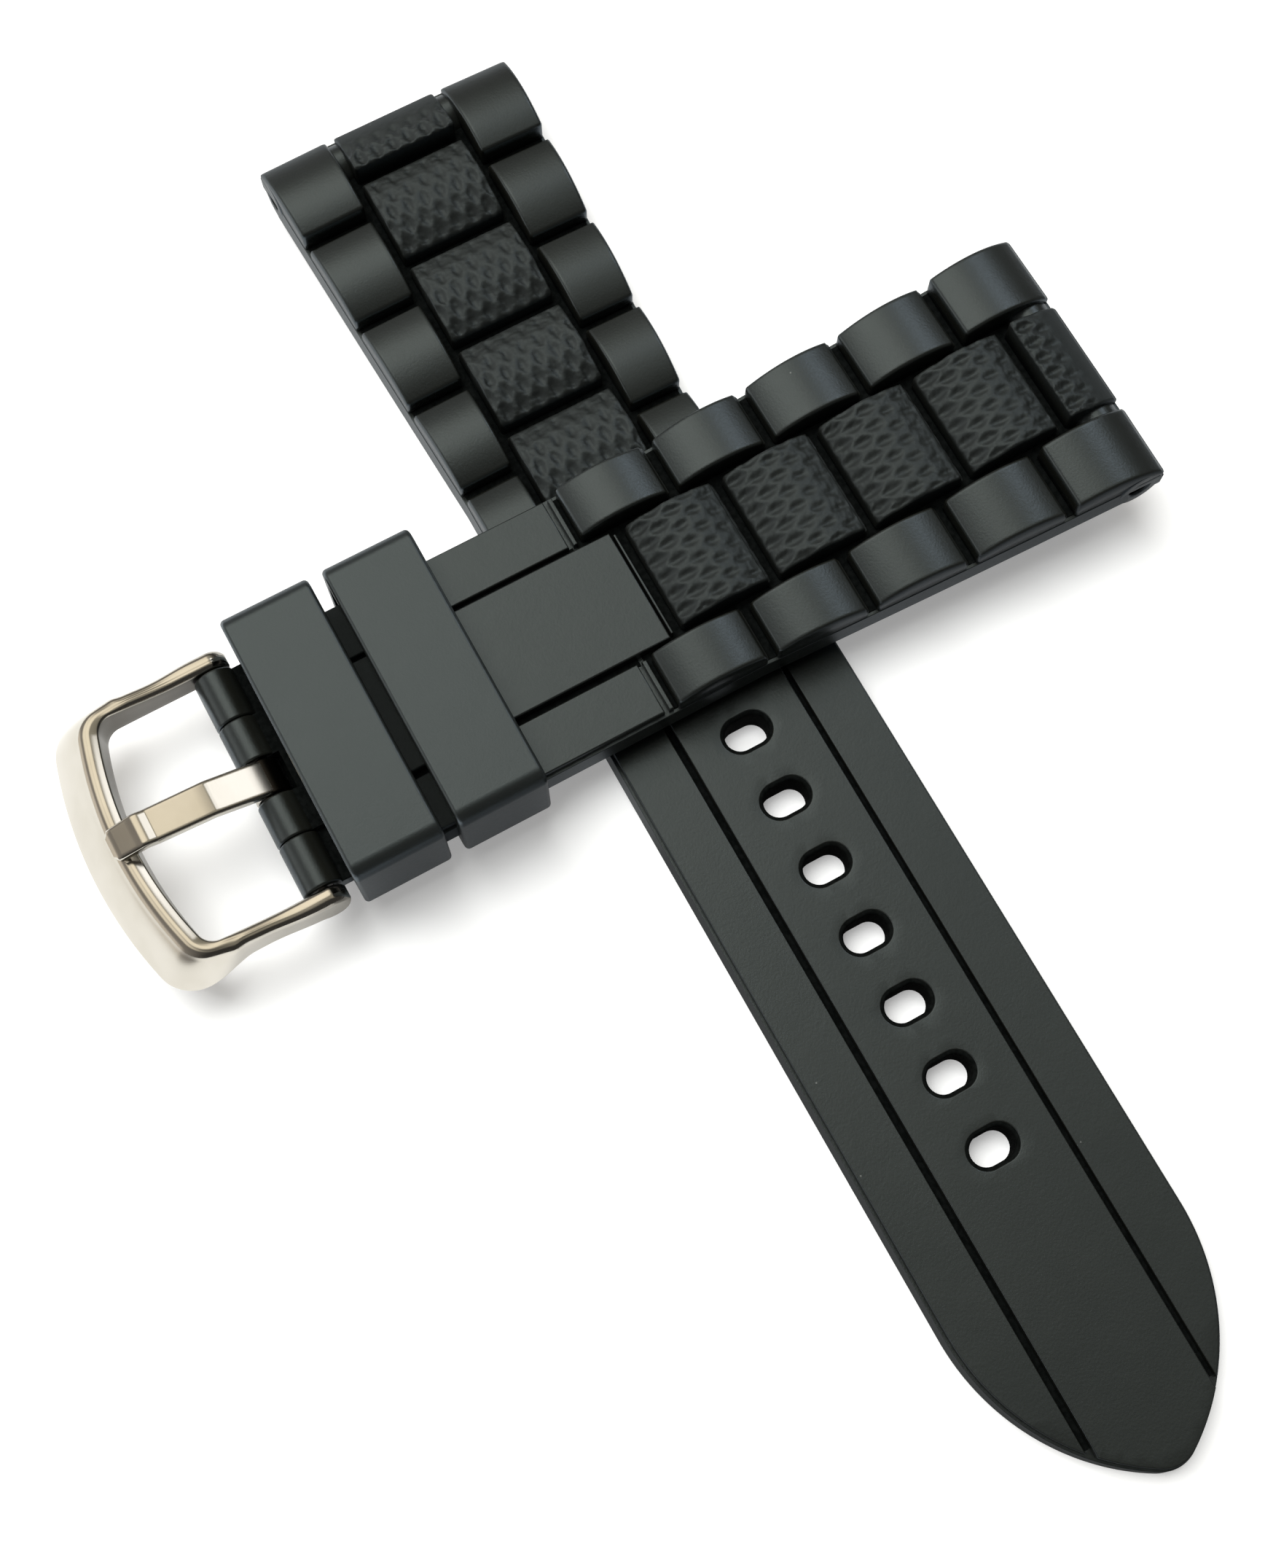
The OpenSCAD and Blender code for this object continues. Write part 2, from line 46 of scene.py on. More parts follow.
class Wire:
    """A node's socket that takes arithmetic, in a material or in a geometry tree."""

    def __init__(self, tree, socket=None):
        self.tree = tree
        self.socket = socket

    def node(self, kind, settings=None, sockets=None):
        new = self.tree.nodes.new(kind)
        for name, value in (settings or {}).items():
            setattr(new, name, value)
        for key, value in (sockets or {}).items():
            if isinstance(value, (Wire, list)):
                for wire in value if isinstance(value, list) else [value]:
                    self.tree.links.new(wire.socket, new.inputs[key])
            else:
                new.inputs[key].default_value = value
        return Wire(self.tree, new.outputs[0] if new.outputs else None)

    def math(self, operation, *others):
        sockets = dict(enumerate((self, *others)))
        return self.node("ShaderNodeMath", {"operation": operation}, sockets)

    def __getitem__(self, name):
        return Wire(self.tree, self.socket.node.outputs[name])

    def __add__(self, other):
        return self.math("ADD", other)

    def __sub__(self, other):
        return self.math("SUBTRACT", other)

    def __mul__(self, other):
        return self.math("MULTIPLY", other)

    def __truediv__(self, other):
        return self.math("DIVIDE", other)

    def __rsub__(self, other):
        return self.node("ShaderNodeMath", {"operation": "SUBTRACT"}, {0: other, 1: self})

    def __rtruediv__(self, other):
        return self.node("ShaderNodeMath", {"operation": "DIVIDE"}, {0: other, 1: self})

    __radd__ = __add__
    __rmul__ = __mul__

    def above(self, level):
        return self.math("GREATER_THAN", level)

    def clamped(self):
        return self.node("ShaderNodeClamp", {}, {0: self})

    def between(self, low, high):
        """0 below low, 1 above high, smooth on the way."""
        return self.node(
            "ShaderNodeMapRange", {"interpolation_type": "SMOOTHSTEP"}, {0: self, 1: low, 2: high}
        )


def mix_colour(share, first, second):
    """Colour that goes from first to second as share goes from 0 to 1."""
    mixed = share.node("ShaderNodeMix", {"data_type": "RGBA"}, {0: share, 6: first, 7: second})
    return mixed[2]


def material(name):
    """A new material without nodes, and a first wire in it."""
    made = bpy.data.materials.new(name)
    made.use_nodes = True
    made.node_tree.nodes.clear()
    return made, Wire(made.node_tree)


def surface(wire, **sockets):
    """Ends a material in a surface with these values and links."""
    named = {name.replace("_", " "): value for name, value in sockets.items()}
    shader = wire.node("ShaderNodeBsdfPrincipled", {}, named)
    wire.node("ShaderNodeOutputMaterial", {}, {"Surface": shader})


# Where the keepers sit on the buckle half, along the frame's Y in metres; the strap there is
# painted darker as their shade
KEEPERS_FROM, KEEPERS_TO = -0.0334, -0.0166
SHADE_FADE = 0.0004


def silicone(name, dark, light, specks, under_keepers):
    made, wire = material(name)
    place = wire.node("ShaderNodeTexCoord")["Object"]
    cloud = wire.node("ShaderNodeTexNoise", {}, {"Vector": place, "Scale": 70.0, "Detail": 3.0})
    grain = wire.node("ShaderNodeTexNoise", {}, {"Vector": place, "Scale": 5200.0, "Detail": 2.0})
    blush = wire.node("ShaderNodeTexNoise", {}, {"Vector": place, "Scale": 380.0, "Detail": 4.0})
    cell = wire.node(
        "ShaderNodeTexVoronoi", {}, {"Vector": place, "Scale": specks, "Randomness": 1.0}
    )
    pick = wire.node("ShaderNodeSeparateColor", {}, {0: cell["Color"]})["Red"]
    dust = (0.05 - cell).between(0.0, 0.03) * pick.above(0.95)
    share = (cloud * 0.7 + blush * 0.3).between(0.3, 0.7)
    along = wire.node("ShaderNodeSeparateXYZ", {}, {0: place})["Y"]
    # Painted shade: the strap under and between the keepers turns darker and rougher
    keeper_shade = (KEEPERS_TO - along).between(0.0, SHADE_FADE)
    keeper_shade = keeper_shade * along.between(KEEPERS_FROM, KEEPERS_FROM + SHADE_FADE) * under_keepers
    netted = wire.node("ShaderNodeAttribute", {"attribute_name": "netted"})["Fac"]
    # The keepers' painted shade, plus the netted centre links, which are darker and rougher
    shade_and_net = (keeper_shade + netted * 0.5).clamped()
    body = mix_colour(shade_and_net * 0.7, mix_colour(share, dark, light), (0.0030, 0.0034, 0.0030, 1))
    dusty = mix_colour(dust * 0.6, body, (0.16, 0.16, 0.15, 1))
    bump = wire.node(
        "ShaderNodeBump", {}, {"Strength": 0.35, "Distance": 0.00003, "Height": grain + blush * 1.5}
    )
    surface(
        wire, Base_Color=dusty, Roughness=0.25 + grain * 0.1 + cloud * 0.06 + shade_and_net * 0.34,
        IOR=1.62, Specular_IOR_Level=1.0, Specular_Tint=(0.70, 0.86, 1.0, 1), Normal=bump,
    )
    return made


strap_silicone = silicone(
    "strap_silicone", dark=(0.0058, 0.0060, 0.0045, 1), light=(0.0082, 0.0084, 0.0065, 1),
    specks=520.0, under_keepers=1.0,
)


def silicone_painted_shade():
    """The same rubber, rough and barely glossy, painted dark as shade where little light gets in:
    gaps, grooves, recesses.
    """
    made, wire = material("silicone_painted_shade_in_gaps")
    place = wire.node("ShaderNodeTexCoord")["Object"]
    grain = wire.node("ShaderNodeTexNoise", {}, {"Vector": place, "Scale": 2400.0, "Detail": 3.0})
    body = mix_colour(
        grain.between(0.3, 0.7), (0.0020, 0.0025, 0.0024, 1), (0.0045, 0.0052, 0.005, 1)
    )
    bump = wire.node("ShaderNodeBump", {}, {"Strength": 0.5, "Distance": 0.00005, "Height": grain})
    surface(
        wire, Base_Color=body, Roughness=0.85 + grain * 0.1, Specular_IOR_Level=0.08, Normal=bump,
    )
    return made


gap_shade_silicone = silicone_painted_shade()

# Tail half: one moulding of silicone, a flat strip with seven holes for the tongue, three
# raised bands, five rows of link blocks, and a barrel at the watch end for the spring bar.

MM = 0.001
LUG_HALF = 12.0  # half the width at the watch end
HALF = 10.4  # half the width past the taper
TAPER = 36.0
TAIL_END = 127.9
SHOULDER_R = 18.0
TIP_R = 3.0
LUG_RISE = 1.1  # how far the underside climbs to the watch end
RISE_RUN = 35.0
BARREL = 2.05
BARREL_X = BARREL + 0.01
LUG_BORE = 0.95
BASE_X = 3.2
BASE_TOP = 1.9
FLOOR_TOP = 2.0  # between the links
EDGE_INSET = 0.25  # from the strap's edge to the raised bands
BAND_FOOT = BASE_TOP - 0.3  # the bands are rooted in the base
BAND_TOP = 2.6
SIDE_BAND_X = 44.95
CENTRE_TOP = 3.0
CENTRE_BAND_X = 41.62
GROOVE_IN = 5.075
GROOVE_OUT = 5.625
GROOVE_X = 44.6
RIB_X = 44.15
RIB_W = 0.4
RIB_IN = 5.62
CENTRE_RIB_X = 41.22
CENTRE_RIB_W = 0.2
CENTRE_RIB_HALF = 4.78
CROSS_TAIL = 50.8  # from the watch end to the place where the halves cross


def arc(cx, cy, r, a0, a1, n):
    turn = np.radians(np.linspace(a0, a1, n + 1))
    return np.stack([cx + r * np.cos(turn), cy + r * np.sin(turn)], 1)


def line(x0, y0, x1, y1, step=0.8):
    n = max(1, round(math.hypot(x1 - x0, y1 - y0) / step))
    share = np.linspace(0, 1, n + 1)[:, None]
    return np.array([[x0, y0]]) * (1 - share) + np.array([[x1, y1]]) * share


def loop(*parts):
    """The parts as one closed loop without points that repeat."""
    points = np.concatenate(parts)
    apart = np.linalg.norm(points - np.roll(points, 1, 0), axis=1) > 1e-5
    return points[apart]


def oblong(x0, x1, y0, y1, step=4):
    """Anticlockwise rectangle with points along its sides."""
    return loop(line(x0, y0, x1, y0, step), line(x1, y0, x1, y1, step)[1:],
                line(x1, y1, x0, y1, step)[1:], line(x0, y1, x0, y0, step)[1:])


def both_sides(upper, step):
    """Anticlockwise outline of a moulding from its +Y edge, which runs out to the tip."""
    x, y = upper[0]
    return loop(upper[::-1], line(x, y, x, -y, step)[1:], (upper * [1, -1])[1:-1])


def drawn_in(points, depth):
    """The closed loop moved to its left by depth, with mitred corners."""
    ahead = np.roll(points, -1, 0) - points
    ahead /= np.linalg.norm(ahead, axis=1)[:, None]
    after = np.stack([-ahead[:, 1], ahead[:, 0]], 1)
    before = np.roll(after, 1, 0)
    dot = np.clip((after * before).sum(1), -0.8, 1)[:, None]
    return points + depth * (after + before) / (1 + dot)


def within(points, rim):
    """True for the points inside the closed loop rim."""
    x, y = points[:, 0:1], points[:, 1:2]
    ax, ay = rim[:, 0], rim[:, 1]
    bx, by = np.roll(rim, -1, 0).T
    spans = (ay > y) != (by > y)
    cut = ax + (y - ay) * (bx - ax) / np.where(by == ay, 1e-12, by - ay)
    return (spans & (x < cut)).sum(1) % 2 == 1


def wall(a, b, n):
    """Faces between two rings of n points, numbered from a and from b."""
    return [(a + i, a + (i + 1) % n, b + (i + 1) % n, b + i) for i in range(n)]


def net_within(flat, rim, spacing):
    """Points of a square net inside the loop rim, none too near the flat points."""
    lo, hi = flat.min(0), flat.max(0)
    across = np.meshgrid(np.arange(lo[0], hi[0], spacing), np.arange(lo[1], hi[1], spacing))
    grid = np.stack(across, -1).reshape(-1, 2)
    grid = grid[within(grid, rim)]
    nearest = np.sqrt(((grid[:, None] - flat[None]) ** 2).sum(2)).min(1)
    return grid[nearest > spacing * 0.5]


def filled(points, loops, net, top):
    """The points, with a net of more if asked, and the triangles that fill the level face between
    the first loop of point numbers and the holes, facing up if top."""
    ids = np.concatenate(loops)
    flat = points[ids, :2]
    edges = []
    for ring in loops:
        at = len(edges)
        edges += [(at + i, at + (i + 1) % len(ring)) for i in range(len(ring))]
    if net:
        grid = net_within(flat, points[loops[0], :2], net)
        level = np.full(len(grid), points[ids[0], 2])
        ids = np.concatenate([ids, len(points) + np.arange(len(grid))])
        points = np.concatenate([points, np.column_stack([grid, level])])
        flat = np.concatenate([flat, grid])
    out = delaunay_2d_cdt([tuple(p) for p in flat], edges, [], 0, 1e-6)
    triangles, sources = out[2], out[3]
    spot = [ids[source[0]] for source in sources]
    corners = np.array([[spot[i] for i in f] for f in triangles])
    p = points[corners][:, :, :2]
    middle = p.mean(1)
    keep = within(middle, points[loops[0], :2])
    for ring in loops[1:]:
        keep &= ~within(middle, points[ring, :2])
    turns = np.cross(p[:, 1] - p[:, 0], p[:, 2] - p[:, 0]) > 0
    kept = zip(corners[keep], turns[keep])
    return points, [tuple(f if left == top else f[::-1]) for f, left in kept]


def plate(outline, low, high, holes=(), edge=0.15, under=None, rim=0.3, net=None, flare=0.0):
    """Points and faces of a closed moulded plate between two heights, its rims rounded by edge,
    under and, round the holes, rim. Its outside is wider by flare at the bottom.
    The outline runs anticlockwise and the holes clockwise."""
    under = edge if under is None else under
    turn = np.linspace(0, math.pi / 2, 6)
    points, faces = [], []
    base_loops, top_loops = [], []
    count = 0
    for number, path in enumerate([outline, *holes]):
        r_top = rim if number else edge
        levels = [(under * (1 - math.sin(a)), low + under * (1 - math.cos(a))) for a in turn]
        levels += [(r_top * (1 - math.cos(a)), high - r_top * (1 - math.sin(a))) for a in turn]
        n = len(path)
        for depth, z in levels:
            spread = 0 if number else flare * (high - z) / (high - low)
            moved = drawn_in(path, depth - spread)
            points.append(np.column_stack([moved, np.full(n, z)]))
        last = count + (len(levels) - 1) * n
        for a in range(count, last, n):
            faces += wall(a, a + n, n)
        base_loops.append(np.arange(count, count + n))
        top_loops.append(np.arange(last, last + n))
        count = last + n
    points, base = filled(np.concatenate(points), base_loops, net, False)
    points, top = filled(points, top_loops, net, True)
    return points, faces + base + top


def rise(x):
    return LUG_RISE * (np.maximum(0, RISE_RUN - x) / RISE_RUN) ** 2


def lifted(shell):
    """The shell bent up towards the watch end."""
    points, faces = shell
    points = points.copy()
    points[:, 2] += rise(points[:, 0])
    return points, faces


def on_side(shell):
    """A plate drawn in side view, along and up, and turned to run across the strap."""
    points, faces = shell
    return np.column_stack([points[:, 0], -points[:, 2], points[:, 1]]), faces


def settled(obj):
    """A plain mesh of the object with its modifiers worked in, which then go."""
    plain = bpy.data.meshes.new_from_object(
        obj.evaluated_get(bpy.context.evaluated_depsgraph_get())
    )
    obj.modifiers.clear()
    obj.data = plain
    return plain


def solid(name, shells, lay, finish, turn_out=False):
    """One mesh piece from closed shells in millimetres, put in its place by lay."""
    points = np.concatenate([lay(s[0]) for s in shells]) * MM
    faces, start = [], 0
    for shell in shells:
        faces += [tuple(int(i) + start for i in f) for f in shell[1]]
        start += len(shell[0])
    mesh = bpy.data.meshes.new(name)
    mesh.from_pydata(points.tolist(), [], faces)
    mesh.validate()
    if turn_out:
        work = bmesh.new()
        work.from_mesh(mesh)
        bmesh.ops.remove_doubles(work, verts=work.verts, dist=1e-7)
        bmesh.ops.recalc_face_normals(work, faces=work.faces)
        work.to_mesh(mesh)
        work.free()
    mesh.polygons.foreach_set("use_smooth", [True] * len(mesh.polygons))
    mesh.set_sharp_from_angle(angle=math.radians(42))
    mesh.materials.append(finish)
    obj = bpy.data.objects.new(name, mesh)
    bpy.context.scene.collection.objects.link(obj)
    weigh = obj.modifiers.new("weigh", "WEIGHTED_NORMAL")
    weigh.keep_sharp = True
    settled(obj).name = name
    return obj


def side_line(x):
    return HALF + (LUG_HALF - HALF) * np.maximum(0, 1 - x / TAPER)


def stretch(x0, x1, inset):
    """Outline of a length of the strap between its two side edges."""
    x = np.linspace(x0, x1, max(2, round((x1 - x0) / 0.6)) + 1)
    right = np.stack([x, inset - side_line(x)], 1)
    left = np.stack([x[::-1], side_line(x[::-1]) - inset], 1)
    return loop(right, line(x1, right[-1, 1], x1, -right[-1, 1])[1:], left,
                line(x0, left[-1, 1], x0, -left[-1, 1])[1:])


def point_of_tail(inset):
    """Upper edge of the tail's point, from its shoulder to its tip."""
    r, t, w = SHOULDER_R - inset, TIP_R - inset, HALF - inset
    run = math.sqrt((r - t) ** 2 - (r - w) ** 2)
    start = TAIL_END - inset - t - run
    lean = math.degrees(math.atan2(r - w, run))
    shoulder = arc(start, w - r, r, 90, lean, 40)
    return np.concatenate([shoulder, arc(start + run, 0, t, lean, 0, 14)[1:]])


def watch_end():
    """Shells of the stretch under the links, the same on both halves."""
    floor = lifted(plate(stretch(0.35, 3.9, 0.03), 1.2, FLOOR_TOP, edge=0.1, net=1.2))
    front = lifted(plate(stretch(0.0, 1.02, 0.05), 0.12, FLOOR_TOP - 0.05, edge=0.22))
    ring = arc(BARREL_X, BARREL, BARREL, 0, 360, 96)[:-1]
    bore = arc(BARREL_X, BARREL, LUG_BORE, 360, 0, 48)[:-1]
    half = LUG_HALF - 0.11
    barrel = on_side(plate(ring, -half, half, [bore], edge=0.2, rim=0.12))
    return [floor, front, barrel]


def band(inner, outer, x0, x1, top, edge=0.14):
    """A raised band between two lines along the strap, from x0 to x1."""
    return plate(oblong(x0, x1, inner, outer), BAND_FOOT, top, edge=edge)


def ribs():
    """Small ribs across the strap, just before its smooth bands."""
    shells = []
    for side in (-1, 1):
        lo, hi = sorted((side * RIB_IN, side * (HALF - EDGE_INSET)))
        shells.append(band(lo, hi, RIB_X, RIB_X + RIB_W, BAND_TOP - 0.02, 0.1))
    half, end = CENTRE_RIB_HALF, CENTRE_RIB_X + CENTRE_RIB_W
    shells.append(band(-half, half, CENTRE_RIB_X, end, CENTRE_TOP - 0.1, 0.07))
    return shells


def flipped(shell):
    """The shell mirrored across the strap's centre line."""
    points, faces = shell
    return points * [1, -1, 1], [tuple(reversed(f)) for f in faces]


FIRST_HOLE = 64.35
HOLE_PITCH = 6.23
HOLES = [FIRST_HOLE + HOLE_PITCH * k for k in range(7)]
HOLE_R = 1.25
HOLE_SPREAD = 0.6


def hole_loop(x, grow=0.0):
    """Clockwise outline of the hole at x, its radius larger by grow."""
    r = HOLE_R + grow
    return loop(arc(x, HOLE_SPREAD, r, 180, 0, 18), arc(x, -HOLE_SPREAD, r, 0, -180, 18))


def lay_tail(points):
    return points - [CROSS_TAIL, 0, 0]


point = point_of_tail(0)
base_side = np.concatenate([
    line(BASE_X, side_line(BASE_X), TAPER, HALF, 0.6),
    line(TAPER, HALF, point[0, 0], HALF, 1.5)[1:], point[1:],
])
tail_base = lifted(plate(
    both_sides(base_side, 1.5), 0.0, BASE_TOP, [hole_loop(x, 0.03) for x in HOLES],
    edge=0.06, under=0.16, rim=0.05, net=1.6, flare=0.17,
))

point = point_of_tail(EDGE_INSET)
band_edge = HALF - EDGE_INSET


def groove_end(y):
    """Where a line along the strap at y runs out on the bands' edge at the point."""
    return np.interp(-y, -point[:, 1], point[:, 0])


centre_side = np.concatenate([
    line(CENTRE_BAND_X, GROOVE_IN, groove_end(GROOVE_IN), GROOVE_IN, 2.5),
    point[point[:, 1] < GROOVE_IN - 0.05],
])
tail_centre = plate(
    both_sides(centre_side, 2.5), BAND_FOOT, CENTRE_TOP, [hole_loop(x, 0.3) for x in HOLES],
    edge=0.1, under=0.02, rim=0.12, net=0.9,
)
side_end = groove_end(GROOVE_OUT)
side_outline = loop(
    line(SIDE_BAND_X, GROOVE_OUT, side_end, GROOVE_OUT, 3),
    point[point[:, 1] > GROOVE_OUT + 0.05][::-1],
    line(point[0, 0], band_edge, SIDE_BAND_X, band_edge, 3)[1:],
    line(SIDE_BAND_X, band_edge, SIDE_BAND_X, GROOVE_OUT, 3)[1:],
)
side_band = plate(side_outline, BAND_FOOT, BAND_TOP, edge=0.1)
tail_body = solid(
    "tail_body", [tail_base, tail_centre, side_band, flipped(side_band), *watch_end(), *ribs()],
    lay_tail, strap_silicone,
)
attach(tail_body, "tail_half")
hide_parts("tail_strap")


def groove_floors(end):
    """Floors of the gaps between the links, and of the two grooves, which run on to end; all in
    painted shade.
    """
    shells = [lifted(plate(stretch(3.0, RIB_X + 0.1, 0.3), 1.7, FLOOR_TOP, edge=0.05, net=1.2))]
    for side in (-1, 1):
        lo, hi = sorted((side * (GROOVE_IN - 0.1), side * (GROOVE_OUT + 0.1)))
        floor = oblong(GROOVE_X, end, lo, hi)
        shells.append(plate(floor, BASE_TOP - 0.2, BASE_TOP + 0.03, edge=0.02))
    return shells


def hole_liner(x):
    """Wall of one hole, from the underside to the rim, in the rubber painted dark as shade."""
    outside = hole_loop(x, 0.36)[::-1]
    return plate(outside, 0.04, CENTRE_TOP - 0.08, [hole_loop(x)], edge=0.02, under=0.02, rim=0.3)


tail_gaps = solid(
    "tail_gap_floors", [*groove_floors(side_end - 0.15), *(hole_liner(x) for x in HOLES)],
    lay_tail, gap_shade_silicone,
)
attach(tail_gaps, "tail_half")
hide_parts("tail_strap")

# Link blocks: part of the same moulding, five rows of crowned blocks with gaps between them.
# The outer ones are smooth and lean towards the edge; the centre ones carry a net of pits.

CROWN_R = 9.0
LINK_INSET = 0.05  # from the strap's edge
LINK_FOOT = 1.8  # the blocks are rooted in the floor
ROW_STEP = 10  # between the rows before they are put in their places
LEDGE_GROOVE = 0.07  # half the width of the fine groove behind the ledge
PITS_FROM = 0.82  # from a centre link's far end to its first pits
PITS_FADE = 5  # columns over which the pits grow shallow


def block_row(size, first, inner, across, along, centre):
    """Geometry of one line of blocks along the strap, from the tree's named sizes."""
    wire = size["Rows"]
    block = wire.node(
        "GeometryNodeMeshCube", {}, {"Vertices X": along, "Vertices Y": across, "Vertices Z": 3}
    )["Mesh"]
    row_line = wire.node(
        "GeometryNodeMeshLine", {}, {"Count": size["Rows"], "Offset": (ROW_STEP, 0, 0)}
    )
    spread = wire.node("GeometryNodeInstanceOnPoints", {}, {"Points": row_line, "Instance": block})
    real = wire.node("GeometryNodeRealizeInstances", {}, {"Geometry": spread})
    at = wire.node("ShaderNodeSeparateXYZ", {}, {0: wire.node("GeometryNodeInputPosition")})
    row = ((at["X"] + ROW_STEP / 2) / ROW_STEP).math("FLOOR")
    later = row.above(0.5)
    crest = size["First crest"] + later * ((size["Pitch"] - size["Gap"]) / 2 - size["First crest"])

    def crowded(value):
        """0 to 1 along a block, with the points closer together towards its rims."""
        return value * 0.45 + (value * math.pi).math("SINE") * 0.275 + 0.5

    s = crowded(at["X"] - row * ROW_STEP)
    t = crowded(at["Y"])
    height = at["Z"] + 0.5
    pitch, gap, r = size["Pitch"], size["Gap"], size["Edge"]
    start = later * (first + (row - 1) * pitch + gap)
    length = first + later * (pitch - gap - first)
    reach = s * length
    x = start + reach
    if centre:
        width = inner * 2
        edge = 0 - inner
    else:
        taper = (1 - x / TAPER).math("MAXIMUM", 0)
        width = HALF - LINK_INSET + taper * (LUG_HALF - HALF) - inner
        edge = inner
    y = edge + t * width

    def near(distance):
        """How far a point is inside the rounding of a rim at that distance."""
        return (r - distance).math("MAXIMUM", 0)

    qx = near(reach.math("MINIMUM", length - reach))
    qy = near((t * width).math("MINIMUM", (1 - t) * width))
    past = ((qx * qx + qy * qy).math("SQRT") / r).math("MAXIMUM", 1)
    shrink = 1 - 1 / past
    x = x + (0.5 - s).math("SIGN") * qx * shrink
    y = y + (0.5 - t).math("SIGN") * qy * shrink
    ledge = size["Ledge"]
    lip = near((reach - ledge).math("MINIMUM", length - reach)).math("MINIMUM", r)
    q = (lip * lip + qy * qy).math("SQRT").math("MINIMUM", r)
    drop = r - (r * r - q * q + 1e-9).math("SQRT")
    cut = 1 - ((reach - ledge - LEDGE_GROOVE).math("ABSOLUTE") / LEDGE_GROOVE).clamped()
    step = ((ledge - reach).between(-0.03, 0.03) * size["Ledge drop"] + cut * 0.4) * later
    climb = (1 - x / RISE_RUN).math("MAXIMUM", 0)
    bent = climb * climb * LUG_RISE
    away = reach - crest
    crown = CROWN_R - (CROWN_R * CROWN_R - away * away).math("SQRT")
    top = bent + size["Height"] - crown - drop - step
    if centre:
        place = wire.node("ShaderNodeCombineXYZ", {}, {0: x, 1: y, 2: row})
        wander = wire.node("ShaderNodeTexNoise", {}, {"Vector": place, "Scale": 0.8, "Detail": 1.0})
        rough = wire.node("ShaderNodeTexNoise", {}, {"Vector": place, "Scale": 2.6, "Detail": 2.0})
        u = (length - reach - PITS_FROM) / size["Pit pitch along"] + (wander - 0.5) * 0.25
        v = y / size["Pit pitch across"] * 2 + 1 + (rough - 0.5) * 0.3
        quarter = math.pi / 2
        cosines = ((u + v) * quarter).math("COSINE") * ((u - v) * quarter).math("COSINE")
        hollow = cosines.math("ABSOLUTE")
        column = (u + 0.5).clamped() * u.math("MAXIMUM", 0)
        deep = 1 - (column / PITS_FADE).clamped()
        land = 0.55 - deep * 0.4
        pit = ((hollow - land) / (1 - land)).clamped() * (deep * 0.65 + 0.35) + hollow * 0.07
        only = (1.75 - u).clamped() * (1 - later) + later
        top = top - (pit * size["Pit depth"] + (rough - 0.5) * 0.16) * only
    else:
        lean = (y - inner) / (HALF - inner)
        top = top - lean * size["Side fall"]
    low = bent + LINK_FOOT
    z = low + height * (top - low)
    place = wire.node("ShaderNodeCombineXYZ", {}, {0: x, 1: y, 2: z})
    return wire.node("GeometryNodeSetPosition", {}, {"Geometry": real, "Position": place})


LINK_SIZES = {
    "Rows": 5, "Pitch": 8.9, "Gap": 0.85, "First outer": 8.15, "First centre": 4.8,
    "First crest": 5.5, "Outer start": 5.65, "Centre half": 4.8, "Height": 4.5,
    "Side fall": 0.15, "Edge": 0.26, "Ledge": 0.2, "Ledge drop": 0.3,
    "Pit pitch along": 1.5, "Pit pitch across": 1.53, "Pit depth": 0.25,
}
link_tree = bpy.data.node_groups.new("strap_links", "GeometryNodeTree")
for size_name in LINK_SIZES:
    kind = "NodeSocketInt" if size_name == "Rows" else "NodeSocketFloat"
    link_tree.interface.new_socket(size_name, in_out="INPUT", socket_type=kind)
link_tree.interface.new_socket("Links", in_out="OUTPUT", socket_type="NodeSocketGeometry")
link_in = link_tree.nodes.new("NodeGroupInput")
sizes = {name: Wire(link_tree, link_in.outputs[name]) for name in LINK_SIZES}
wire = sizes["Rows"]
middle_row = block_row(sizes, sizes["First centre"], sizes["Centre half"], 70, 78, True)
outer_row = block_row(sizes, sizes["First outer"], sizes["Outer start"], 26, 60, False)
middle_row = wire.node(
    "GeometryNodeStoreNamedAttribute", {"data_type": "FLOAT", "domain": "POINT"},
    {"Geometry": middle_row, "Name": "netted", "Value": 1.0},
)
mirrored = wire.node("GeometryNodeTransform", {}, {"Geometry": outer_row, "Scale": (1, -1, 1)})
mirrored = wire.node("GeometryNodeFlipFaces", {}, {"Mesh": mirrored})
joined = wire.node("GeometryNodeJoinGeometry", {}, {"Geometry": [middle_row, outer_row, mirrored]})
smooth = wire.node("GeometryNodeSetShadeSmooth", {}, {"Geometry": joined})
whole = wire.node("GeometryNodeRealizeInstances", {}, {"Geometry": smooth})
finished = wire.node("GeometryNodeSetMaterial", {}, {"Geometry": whole, "Material": strap_silicone})
wire.node("NodeGroupOutput", {}, {"Links": finished})


def spots_of(mesh):
    """Places of the mesh's points, a row each."""
    flat = np.zeros(len(mesh.vertices) * 3)
    mesh.vertices.foreach_get("co", flat)
    return flat.reshape(-1, 3)


def links(name, lay, body):
    holder = bpy.data.objects.new(name, bpy.data.meshes.new(name))
    bpy.context.scene.collection.objects.link(holder)
    grow = holder.modifiers.new("links", "NODES")
    grow.node_group = link_tree
    for item in link_tree.interface.items_tree:
        if item.in_out == "INPUT":
            grow[item.identifier] = LINK_SIZES[item.name]
    made = settled(holder)
    made.vertices.foreach_set("co", (lay(spots_of(made)) * MM).ravel())
    made.update()
    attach(holder, body)
    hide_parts("tail_strap" if body == "tail_half" else "buckle_strap")


links("tail_links", lay_tail, "tail_half")

# Buckle half: the short moulding, whose links are the same, laid across the tail half. Its
# knuckle wraps round the buckle's spring bar, in four parts with a slot for the tongue.

